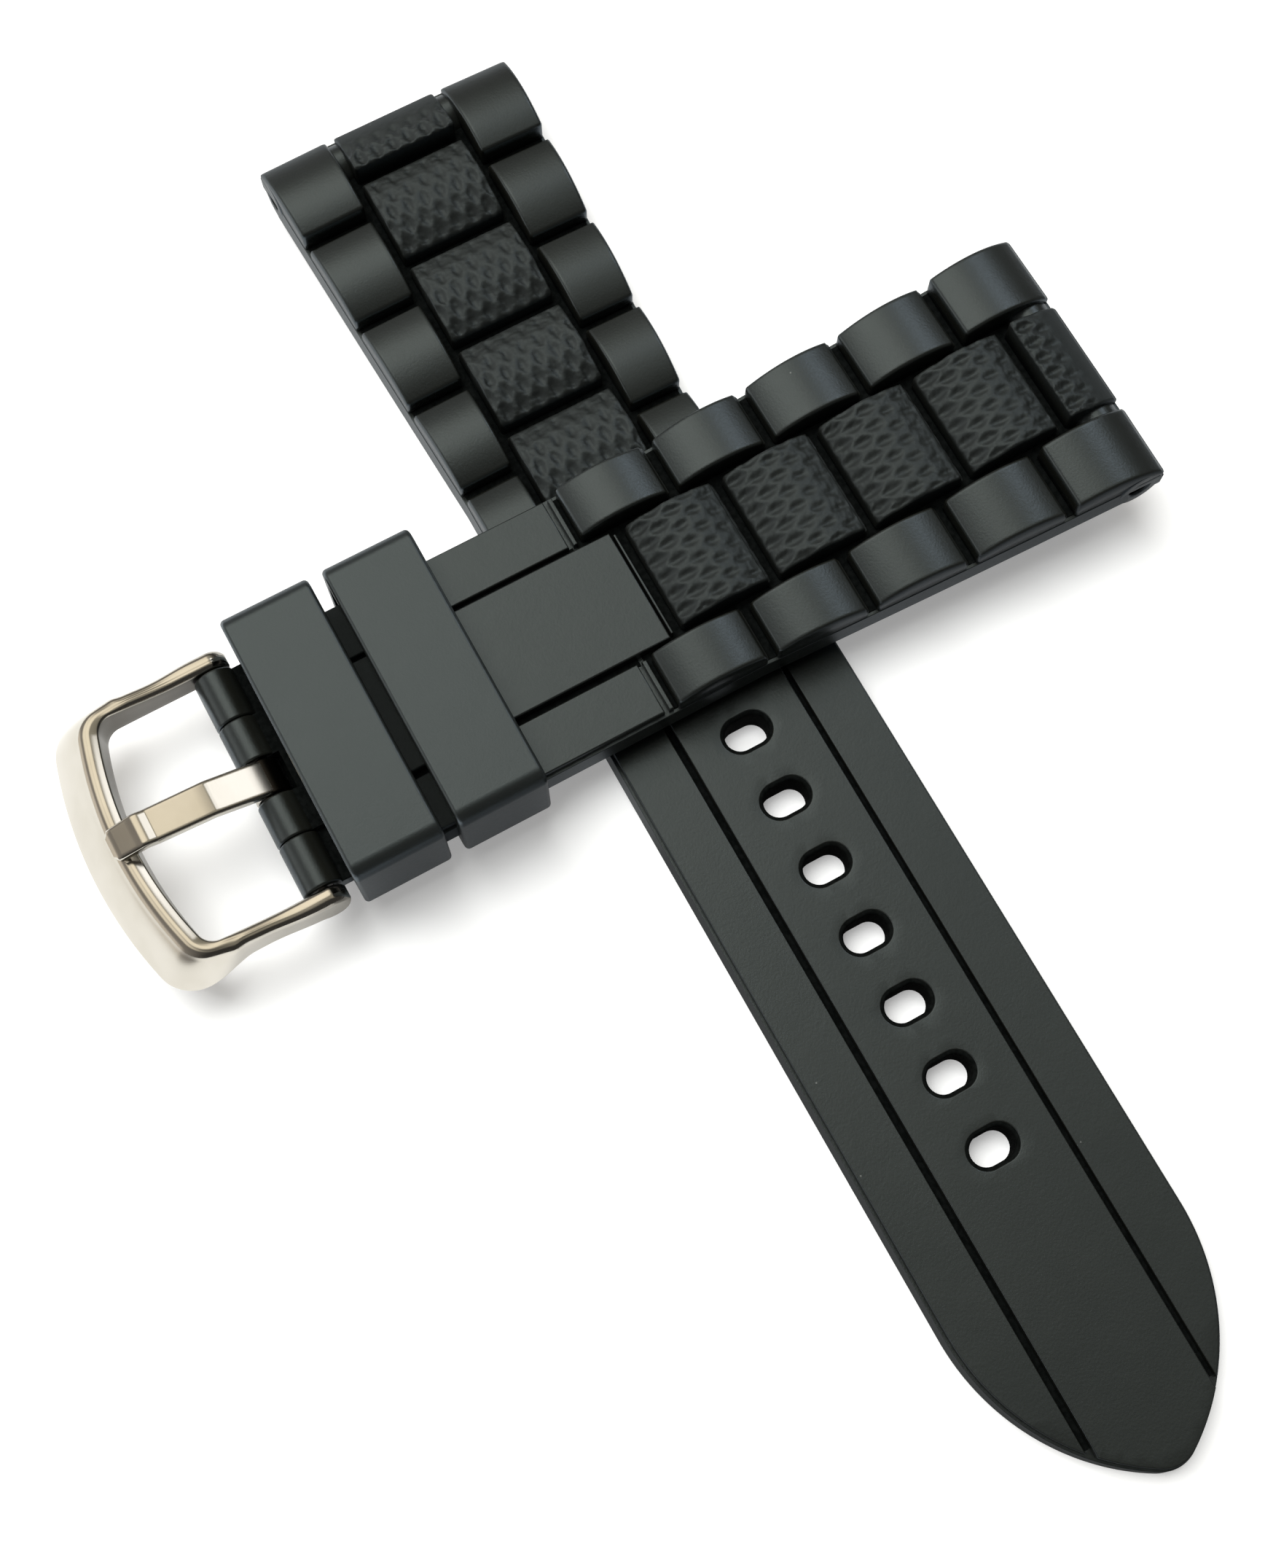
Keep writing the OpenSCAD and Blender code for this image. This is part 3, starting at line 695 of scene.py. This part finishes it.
CROSS_BUCKLE = 39.3
LIFT = 4.6
BUCKLE_LEN = 74.6
BODY_END = 71.35
BAR_Z = 1.45
BAR_TUBE = 0.9
KNUCKLE_R = 1.65
KNUCKLE_HALF = 9.85
SEAM_IN, SEAM_OUT = 5.32, 5.38
SLOT_HALF = 1.65
SLOT_SIDE = 1.75  # the slot's back reaches into the knuckle's parts
SLOT_END = 72.7
NECK = 2.2  # height of the neck beside the slot
OUTER_NECK = 1.5
NECK_X = BODY_END - 0.6
RECESS_X = BODY_END - 0.4


def lay_buckle(points):
    return np.column_stack([points[:, 1], CROSS_BUCKLE - points[:, 0], LIFT + points[:, 2]])


def knuckle_part(y0, y1, neck_top):
    """One part of the knuckle with its neck, drawn in side view."""
    under = math.degrees(math.atan2(-BAR_Z, -math.sqrt(KNUCKLE_R**2 - BAR_Z**2)))
    meet_x = math.sqrt(max(0.0, KNUCKLE_R**2 - (neck_top - BAR_Z) ** 2))
    meet = math.degrees(math.acos(-meet_x / KNUCKLE_R))
    round_bar = arc(BUCKLE_LEN, BAR_Z, KNUCKLE_R, under, meet, 48)
    path = loop([[NECK_X, 0.0]], round_bar, [[NECK_X, neck_top]])
    bore = arc(BUCKLE_LEN, BAR_Z, BAR_TUBE + 0.01, 360, 0, 40)[:-1]
    return on_side(plate(path, -y1, -y0, [bore], edge=0.2, rim=0.08))


buckle_base = lifted(plate(
    stretch(BASE_X, BODY_END, 0.0), 0.0, BASE_TOP, edge=0.06, under=0.16, net=1.6, flare=0.17,
))
bands = [
    band(-GROOVE_IN, GROOVE_IN, CENTRE_BAND_X, BODY_END, CENTRE_TOP),
    band(GROOVE_OUT, HALF - EDGE_INSET, SIDE_BAND_X, BODY_END, BAND_TOP),
    band(EDGE_INSET - HALF, -GROOVE_OUT, SIDE_BAND_X, BODY_END, BAND_TOP),
]
slot_back = oblong(NECK_X, SLOT_END, -SLOT_SIDE, SLOT_SIDE, 0.8)
knuckles = [
    knuckle_part(-KNUCKLE_HALF, -SEAM_OUT, OUTER_NECK), knuckle_part(-SEAM_IN, -SLOT_HALF, NECK),
    knuckle_part(SLOT_HALF, SEAM_IN, NECK), knuckle_part(SEAM_OUT, KNUCKLE_HALF, OUTER_NECK),
    plate(slot_back, 0.02, NECK - 0.02, edge=0.08),
]
buckle_body = solid(
    "buckle_body", [buckle_base, *bands, *watch_end(), *ribs(), *knuckles],
    lay_buckle, strap_silicone,
)
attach(buckle_body, "buckle_half")
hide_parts("buckle_strap")
links("buckle_links", lay_buckle, "buckle_half")


def slab(x0, x1, y0, y1, low, high):
    """A small block with nearly sharp edges."""
    corners = loop([[x0, y0]], [[x1, y0]], [[x1, y1]], [[x0, y1]])
    return plate(corners, low, high, edge=0.02)


# Painted shade: dark floors beside the necks of the outer and the inner parts, then behind the slot
# and in it
neck_skin = NECK + 0.04
recesses = [
    slab(RECESS_X, 73.3, -9.83, -5.4, 1.2, OUTER_NECK + 0.04),
    slab(RECESS_X, 73.3, 5.4, 9.83, 1.2, OUTER_NECK + 0.04),
    slab(RECESS_X, 73.25, -5.3, -1.66, 1.9, neck_skin),
    slab(RECESS_X, 73.25, 1.66, 5.3, 1.9, neck_skin),
    slab(RECESS_X, 72.72, -1.66, 1.66, 1.9, neck_skin),
    slab(72.5, 73.45, -1.64, 1.64, 0.02, 0.26),
]
buckle_gaps = solid(
    "buckle_gap_floors", [*groove_floors(BODY_END - 0.2), *recesses], lay_buckle, gap_shade_silicone,
)
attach(buckle_gaps, "buckle_half")
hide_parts("buckle_strap")

# Keepers: two flat loops of the same silicone, cut from one moulded strip, slid over the
# buckle half to hold the tail down. Their rims are soft and their top corners round.

# Painted light: the keepers' rubber is a lighter, cooler copy of the strap's, as they catch more
# light
keeper_silicone = silicone(
    "keeper_silicone", dark=(0.0078, 0.0088, 0.0080, 1), light=(0.0105, 0.0116, 0.0106, 1),
    specks=480.0, under_keepers=0.0,
)
KEEPER_LEN = 7.55
KEEPER_OUTSIDE = (11.8, -1.4, 7.1)  # half its width, underside, top
KEEPER_INSIDE = (10.6, -0.2, 5.9)


def rounded(half, low, high, r, n):
    """Anticlockwise rounded rectangle, from -half to half and from low to high."""
    return loop(
        arc(half - r, low + r, r, -90, 0, n), line(half, low + r, half, high - r, 3)[1:-1],
        arc(half - r, high - r, r, 0, 90, n), line(half - r, high, r - half, high, 3)[1:-1],
        arc(r - half, high - r, r, 90, 180, n), line(-half, high - r, -half, low + r, 3)[1:-1],
        arc(r - half, low + r, r, 180, 270, n), line(r - half, low, half - r, low, 3)[1:-1],
    )


def keeper(name, x, body):
    outer = rounded(*KEEPER_OUTSIDE, 1.25, 12)
    inner = rounded(*KEEPER_INSIDE, 0.4, 6)[::-1]
    points, faces = plate(outer, 0.0, KEEPER_LEN, [inner], edge=0.38, rim=0.1)
    turned = np.column_stack([x + points[:, 2], points[:, 0], points[:, 1]])
    made = solid(name, [(turned, faces)], lay_buckle, keeper_silicone)
    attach(made, body)
    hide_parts(body)


keeper("keeper_beside_buckle", 64.65, "keeper_by_buckle")
keeper("keeper_free", 55.9, "keeper_loose")

# Buckle frame: stainless steel, forged and polished to a mirror, with a high rounded crest
# for the tongue, an apron that falls away in front of it, and two arms drilled for the bar.


def steel(name, dark, light, rough, scratch):
    made, wire = material(name)
    place = wire.node("ShaderNodeTexCoord")["Object"]
    long_way = wire.node(
        "ShaderNodeMapping", {},
        {"Vector": place, "Rotation": (0, 0, 0.5), "Scale": (900.0, 9000.0, 2600.0)},
    )
    lines = wire.node("ShaderNodeTexNoise", {}, {"Vector": long_way, "Scale": 1.0, "Detail": 2.0})
    haze = wire.node("ShaderNodeTexNoise", {}, {"Vector": place, "Scale": 260.0, "Detail": 3.0})
    shade = wire.node("ShaderNodeAttribute", {"attribute_name": "dulled"})["Fac"]
    unshaded = mix_colour(haze.between(0.3, 0.7), dark, light)
    # Painted shade: the steel turns dark and rougher where the attribute marks it
    body = mix_colour(shade, unshaded, (0.03, 0.027, 0.024, 1))
    bump = wire.node(
        "ShaderNodeBump", {}, {"Strength": scratch, "Distance": 0.000004, "Height": lines}
    )
    finish = rough + haze * 0.06 + lines * 0.03 + shade * 0.2
    surface(wire, Base_Color=body, Metallic=1.0, Roughness=finish, Normal=bump)
    return made


def mark_painted_shade(piece, shares):
    """Marks how much painted shade, as darker and rougher steel, each of the piece's points gets.
    """
    layer = piece.data.attributes.new("dulled", "FLOAT", "POINT")
    layer.data.foreach_set("value", np.asarray(shares, dtype=float))


polished = steel(
    "polished_steel", dark=(0.575, 0.545, 0.485, 1), light=(0.63, 0.60, 0.545, 1),
    rough=0.13, scratch=0.12,
)
BAR_Y = -35.3
BAR_HEIGHT = 6.05
OPENING_HALF = 10.0
ARM_HALF = 11.3
ARM_SPREAD = 0.8  # how far an arm leans out on its way to the corner
ARM_R = 1.6
ARM_TOP = 1.55
ARM_KNEE = 0.62
ARM_STRAIGHT = 6.6
ARM_SWELL = 0.3  # the arms are wider round the bar's ends
CLIMB_FROM = 2.6
CLIMB_RUN = 7.0
CREST_CLIMB = 0.85
UNDERSIDE = -1.2
BOW_MID = -21.0  # centre of the bow's curves
BOW_IN = 32.0
BOW_OUT = 36.2
BOW_KNEE = 0.95
CORNER_IN = 1.5
CORNER_OUT = 3.2
CORNER_IN_AT = (29.29, OPENING_HALF - CORNER_IN)  # centres of the corners, from the bow's centre
CORNER_OUT_ACROSS = 8.89


def lay_bar(points):
    """From along the buckle, across and up, round the bar, to the frame."""
    return np.column_stack([points[:, 1], BAR_Y - points[:, 0], BAR_HEIGHT + points[:, 2]])


# Points in each part of the frame's section, from its inner foot over the crest to its underside
SECTION_COUNTS = (3, 4, 8, 6, 9, 14, 7, 4)


def bend(centre, r, a0, a1, n):
    turn = np.radians(a0 + (a1 - a0) * np.linspace(0, 1, n, endpoint=False))
    return np.stack([centre[0] + r * np.cos(turn), centre[1] + r * np.sin(turn)], 1)


def straight(a, b, n, bulge=0.0):
    share = np.linspace(0, 1, n, endpoint=False)[:, None]
    a, b = np.array(a), np.array(b)
    out = np.array([a[1] - b[1], b[0] - a[0]]) / np.linalg.norm(b - a)
    return a + (b - a) * share + out * 4 * bulge * share * (1 - share)


def bow_section(width, top, low, knee):
    """Closed section across the frame, from its inner wall outwards: crest, knee, then apron."""
    n = SECTION_COUNTS
    share = min(1, max(0, (knee - ARM_KNEE) / 0.3))
    r, q = min(0.5 - 0.28 * share, 0.45 * (top - low)), min(0.22, 0.3 * (top - low))
    slope, bevel = math.radians(20 * share), 0.06 + 0.46 * share
    cut = np.array([r - r * math.sin(slope), top - bevel * math.sin(slope)])
    corner = np.array([r, cut[1] - r * math.cos(slope)])
    level = np.array([cut[0] + bevel * math.cos(slope), top])
    knee = min(knee, 0.48 * (top - low))
    flat = max(level[0] + 0.02, min(1.0, width - knee - 0.05))
    k, b = np.array([flat, top - knee]), np.array([width - q, low + q])
    gap = b - k
    far = np.linalg.norm(gap)
    lean = math.acos((knee - q) / far)
    turn = math.degrees(math.atan2(gap[1], gap[0]) + lean)
    normal = np.array([math.cos(math.radians(turn)), math.sin(math.radians(turn))])
    start, end = k + knee * normal, b + q * normal
    return np.concatenate([
        bend((q, low + q), q, 270, 180, n[0]), straight((0, low + q), (0, corner[1]), n[1]),
        bend(corner, r, 180, 90 + math.degrees(slope), n[2] - 2), straight(cut, level, 2),
        straight(level, (flat, top), n[3], 0.02),
        bend(k, knee, 90, turn, n[4]), straight(start, end, n[5], 0.075 * max(0, far - 2.2)),
        bend(b, q, turn, -90, n[6]), straight((width - q, low), (q, low), n[7]),
    ])


def ease(s):
    """Smooth step from 0 to 1."""
    s = min(1, max(0, s))
    return s * s * (3 - 2 * s)


def climb_of_arm(u):
    """Height of an arm's top, which climbs to the crest at the corner."""
    return ARM_TOP + CREST_CLIMB * ease((u - CLIMB_FROM) / CLIMB_RUN)


def on_circle(u, v, r, degrees):
    turn = math.radians(degrees)
    return u + r * math.cos(turn), v + r * math.sin(turn)


def stations():
    """Inner and outer point, top, underside and knee's radius, from an arm's end to the middle."""
    rows = []
    in_along, in_across = CORNER_IN_AT
    in_u = BOW_MID + in_along
    lean_in = math.degrees(math.atan2(in_across, in_along))
    out_r = BOW_OUT - CORNER_OUT
    out_u = BOW_MID + math.sqrt(out_r**2 - CORNER_OUT_ACROSS**2)
    lean_out = math.degrees(math.asin(CORNER_OUT_ACROSS / out_r))
    for a in np.linspace(4, 90, 12)[:-1]:
        u, h = -ARM_R * math.cos(math.radians(a)), ARM_R * math.sin(math.radians(a))
        dome = (1 - math.sin(math.radians(a))) ** 1.5
        inner, outer = OPENING_HALF + 0.25 * dome, ARM_HALF + ARM_SWELL - 0.45 * dome
        rows.append((u, inner, u, outer, min(h, ARM_TOP + 0.01), -h, ARM_KNEE))
    for u in np.linspace(0, ARM_STRAIGHT, 14):
        outer = ARM_HALF + ARM_SWELL * (1 - ease((u - 0.8) / 4.6))
        low = -max(-UNDERSIDE, math.sqrt(max(0, ARM_R**2 - u**2)))
        rows.append((u, OPENING_HALF, u, outer, climb_of_arm(u), low, ARM_KNEE - 0.1 * ease(u / 3)))
    for s in np.linspace(0, 1, 13)[1:]:
        u_in = ARM_STRAIGHT + (in_u - ARM_STRAIGHT) * s
        u_out = ARM_STRAIGHT + (out_u - ARM_STRAIGHT) * s
        outer = ARM_HALF + ARM_SPREAD * ease(s)
        knee = ARM_KNEE - 0.1 + 0.2 * s
        rows.append((u_in, OPENING_HALF, u_out, outer, climb_of_arm(u_in), UNDERSIDE, knee))
    for s in np.linspace(0, 1, 17)[1:]:
        inner = on_circle(in_u, in_across, CORNER_IN, 90 + (lean_in - 90) * s)
        outer = on_circle(out_u, CORNER_OUT_ACROSS, CORNER_OUT, 90 + (lean_out - 90) * s)
        rows.append((*inner, *outer, climb_of_arm(inner[0]), UNDERSIDE, 0.72 + 0.23 * s))
    for s in np.linspace(0, 1, 20)[1:]:
        inner = on_circle(BOW_MID, 0, BOW_IN, lean_in * (1 - s))
        outer = on_circle(BOW_MID, 0, BOW_OUT, lean_out * (1 - s))
        rows.append((*inner, *outer, ARM_TOP + CREST_CLIMB, UNDERSIDE, BOW_KNEE))
    return rows


def lofted(rings):
    """Closed shell through rings of equal length."""
    n = len(rings[0])
    points = np.concatenate([*rings, [rings[0].mean(0), rings[-1].mean(0)]])
    last = (len(rings) - 1) * n
    faces = []
    for a in range(0, last, n):
        faces += wall(a, a + n, n)
    faces += [(i, len(points) - 2, (i + 1) % n) for i in range(n)]
    faces += [(last + (i + 1) % n, len(points) - 1, last + i) for i in range(n)]
    return points, faces


def frame_shell():
    half = stations()
    rings = []
    for side, rows in ((1, half), (-1, half[-2::-1])):
        for u0, v0, u1, v1, top, low, knee in rows:
            width = math.hypot(u1 - u0, v1 - v0)
            flat = bow_section(width, top, low, knee)
            out = np.array([u1 - u0, v1 - v0]) / width
            place = np.array([u0, v0]) + flat[:, :1] * out
            rings.append(np.column_stack([place[:, 0], side * place[:, 1], flat[:, 1]]))
    return lofted(rings)


buckle = solid("buckle_bow_and_arms", [frame_shell()], lay_bar, polished, turn_out=True)
# Painted shade on the frame's inner walls
place_in_ring = np.arange(len(buckle.data.vertices)) % sum(SECTION_COUNTS)
inner_wall_end = SECTION_COUNTS[0] + SECTION_COUNTS[1] + 1
mark_painted_shade(buckle, 0.8 * ((place_in_ring >= 2) & (place_in_ring <= inner_wall_end)))
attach(buckle, "buckle_frame")
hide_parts("buckle_frame")

# Tongue: a strip of the same steel, rolled into an eye round the bar, bent up and then down
# so that its faceted end rests on the crest.

EYE_R = 1.55
EYE_BORE = 0.93
TONGUE_HALF = 1.5
# Along and up from the bar, half the width and thickness, at each bend from the eye to the end
TONGUE_BENDS = np.array([
    (-0.2, 1.05, TONGUE_HALF, 0.9), (1.2, 1.54, TONGUE_HALF, 0.95),
    (4.15, 2.62, 1.49, 0.95), (4.45, 2.71, 1.48, 0.95),
    (9.1, 3.24, 1.43, 0.95), (9.25, 3.27, 1.42, 0.95),
    (9.85, 3.47, 1.42, 0.95), (10.1, 3.49, 1.42, 0.95), (10.35, 3.42, 1.42, 0.95),
    (12.25, 3.04, 1.34, 0.84), (12.58, 2.97, 1.0, 0.5),
])
RING_POINTS = 48


def evened(ring):
    """The closed ring with its points at equal distances."""
    closed = np.concatenate([ring, ring[:1]])
    run = np.concatenate([[0], np.cumsum(np.linalg.norm(np.diff(closed, axis=0), axis=1))])
    at = np.linspace(0, run[-1], RING_POINTS + 1)[:-1]
    return np.stack([np.interp(at, run, closed[:, k]) for k in range(3)], 1)


def tongue_shell():
    last = len(TONGUE_BENDS) - 1
    share = np.concatenate([np.linspace(k, k + 1, 6)[:-1] for k in range(last)] + [[last]])
    bends = np.arange(last + 1)
    along, up, half, thick = [np.interp(share, bends, column) for column in TONGUE_BENDS.T]
    path = np.stack([along, up], 1)
    ahead = np.gradient(path, axis=0)
    ahead /= np.linalg.norm(ahead, axis=1)[:, None]
    normals = np.stack([-ahead[:, 1], ahead[:, 0]], 1)
    rings = []
    for p, n, w, t in zip(path, normals, half, thick):
        ring = rounded(w, -t / 2, t / 2, min(0.24, 0.4 * t), 5)
        crown = 0.012 * (1 - (ring[:, 0] / w) ** 2) * (ring[:, 1] > 0)
        lift = ring[:, 1] + crown
        rings.append(evened(np.column_stack([p[0] + n[0] * lift, ring[:, 0], p[1] + n[1] * lift])))
    return lofted(rings)


eye_outer = arc(0, 0, EYE_R, 0, 360, 64)[:-1]
eye_inner = arc(0, 0, EYE_BORE, 360, 0, 40)[:-1]
eye = on_side(plate(eye_outer, -TONGUE_HALF, TONGUE_HALF, [eye_inner], edge=0.16, rim=0.1))
tongue = solid("tongue_of_buckle", [eye, tongue_shell()], lay_bar, polished, turn_out=True)
# Painted shade on the back of the tongue's eye, down in the dark slot
spots = spots_of(tongue.data) / MM
behind = BAR_Y - spots[:, 1]
in_eye = np.hypot(behind, spots[:, 2] - BAR_HEIGHT) < EYE_R + 0.01
mark_painted_shade(tongue, in_eye & (behind < 0.1))
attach(tongue, "tongue")
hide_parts("buckle_tongue")

# Spring bar: a steel tube with two sprung tips, turned on a lathe, inside the knuckle. Its
# parts keep their own shapes, and show only in the tongue's slot and beside the arms.

turned = steel(
    "turned_steel", dark=(0.52, 0.51, 0.49, 1), light=(0.62, 0.61, 0.59, 1),
    rough=0.28, scratch=0.4,
)
for part in ("bar_tube", "bar_spring", "bar_plunger_near", "bar_plunger_far"):
    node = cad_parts[part]
    node.data.materials.clear()
    node.data.materials.append(turned)

# Studio: a white table, a broad soft lamp high above it, towards the tail's watch end and the
# buckle, and a pale room, brighter overhead and on the lamp's side. What glossy surfaces mirror
# of the table carries painted shade, darker away from the buckle, so the silicone's edges stay
# dark.

TABLE_HALF = 3
floor_mesh = bpy.data.meshes.new("table_top")
corners = [(x * TABLE_HALF, y * TABLE_HALF, 0) for x, y in ((-1, -1), (1, -1), (1, 1), (-1, 1))]
floor_mesh.from_pydata(corners, [], [(0, 1, 2, 3)])
floor = bpy.data.objects.new("table_top", floor_mesh)
bpy.context.scene.collection.objects.link(floor)
paper, wire = material("white_paper")
matt = wire.node("ShaderNodeBsdfDiffuse", {}, {"Color": (0.93, 0.93, 0.93, 1)})
glow = wire.node("ShaderNodeEmission", {}, {"Color": (1, 1, 1, 1), "Strength": 1.25})
ray = wire.node("ShaderNodeLightPath")
seen = (ray["Is Camera Ray"] + ray["Is Transmission Ray"]).clamped() * 0.24
seen = seen + ray["Is Glossy Ray"] * 0.18
lit = wire.node("ShaderNodeMixShader", {}, {0: seen, 1: matt, 2: glow})
spot = wire.node("ShaderNodeSeparateXYZ", {}, {0: wire.node("ShaderNodeTexCoord")["Object"]})
# Painted shade: glossy rays see the table darker away from the buckle
shaded = spot["X"].between(0.008, 0.02) * 0.45 + 0.4
shaded = shaded * spot["Y"].between(-0.045, -0.03) * ray["Is Glossy Ray"]
unlit = wire.node("ShaderNodeBsdfDiffuse", {}, {"Color": (0, 0, 0, 1)})
shown = wire.node("ShaderNodeMixShader", {}, {0: shaded, 1: lit, 2: unlit})
wire.node("ShaderNodeOutputMaterial", {}, {"Surface": shown})
floor_mesh.materials.append(paper)

world = bpy.data.worlds.new("pale_room")
bpy.context.scene.world = world
world.use_nodes = True
world.node_tree.nodes.clear()
wire = Wire(world.node_tree)
way = wire.node("ShaderNodeTexCoord")["Generated"]


def toward(x, y, z, low, high):
    """Share that grows as the direction comes near the given one."""
    size = math.sqrt(x * x + y * y + z * z)
    aim = (x / size, y / size, z / size)
    facing = wire.node("ShaderNodeVectorMath", {"operation": "DOT_PRODUCT"}, {0: way, 1: aim})
    return facing["Value"].between(low, high)


room = mix_colour(
    toward(-0.5, -0.7, 0.1, 0.0, 0.9), (0.045, 0.043, 0.040, 1), (0.30, 0.275, 0.25, 1)
)
room = mix_colour(toward(-0.4, -0.9, 0.1, 0.83, 0.95), room, (0.85, 0.78, 0.68, 1))
room = mix_colour(toward(-0.33, 0.32, 0.89, 0.72, 0.96), room, (0.36, 0.335, 0.275, 1))
room = mix_colour(toward(-0.45, -0.08, 0.89, 0.89, 0.985), room, (1.37, 1.25, 1.02, 1))
room = mix_colour(toward(-0.335, 0.572, 0.749, 0.9825, 0.991), room, (1.85, 1.85, 1.85, 1))
sky = wire.node("ShaderNodeBackground", {}, {"Color": room, "Strength": 1.0})
wire.node("ShaderNodeOutputWorld", {}, {"Surface": sky})

light = bpy.data.lights.new("soft_lamp", "AREA")
light.shape = "SQUARE"
light.size = 0.56
light.energy = 8.7
light.color = (0.98, 1.0, 1.0)
lamp = bpy.data.objects.new("soft_lamp", light)
bpy.context.scene.collection.objects.link(lamp)
lamp.location = (-0.22, -0.13, 0.76)
lamp.rotation_mode = "QUATERNION"
lamp.rotation_quaternion = Vector(lamp.location).to_track_quat("Z", "Y")
lamp.visible_glossy = False

# Camera: held above the strap, a little towards the buckle and the tip, and turned so that
# the tail runs down to the right and the buckle lies at the left, as in the photograph.

SENSOR = 36.0
PHOTO_HEIGHT = 2151.0
FOCAL_PIXELS = 2800.0
lens = bpy.data.cameras.new("camera")
lens.sensor_width = SENSOR
lens.lens = FOCAL_PIXELS / PHOTO_HEIGHT * SENSOR
lens.clip_start = 0.01
camera = bpy.data.objects.new("camera", lens)
bpy.context.scene.collection.objects.link(camera)
camera.location = (0.053183, -0.032171, 0.157955)
camera.rotation_euler = [math.radians(a) for a in (16.4975, 0.0133, 61.195)]
bpy.context.scene.camera = camera
bpy.context.scene.view_settings.view_transform = "Standard"
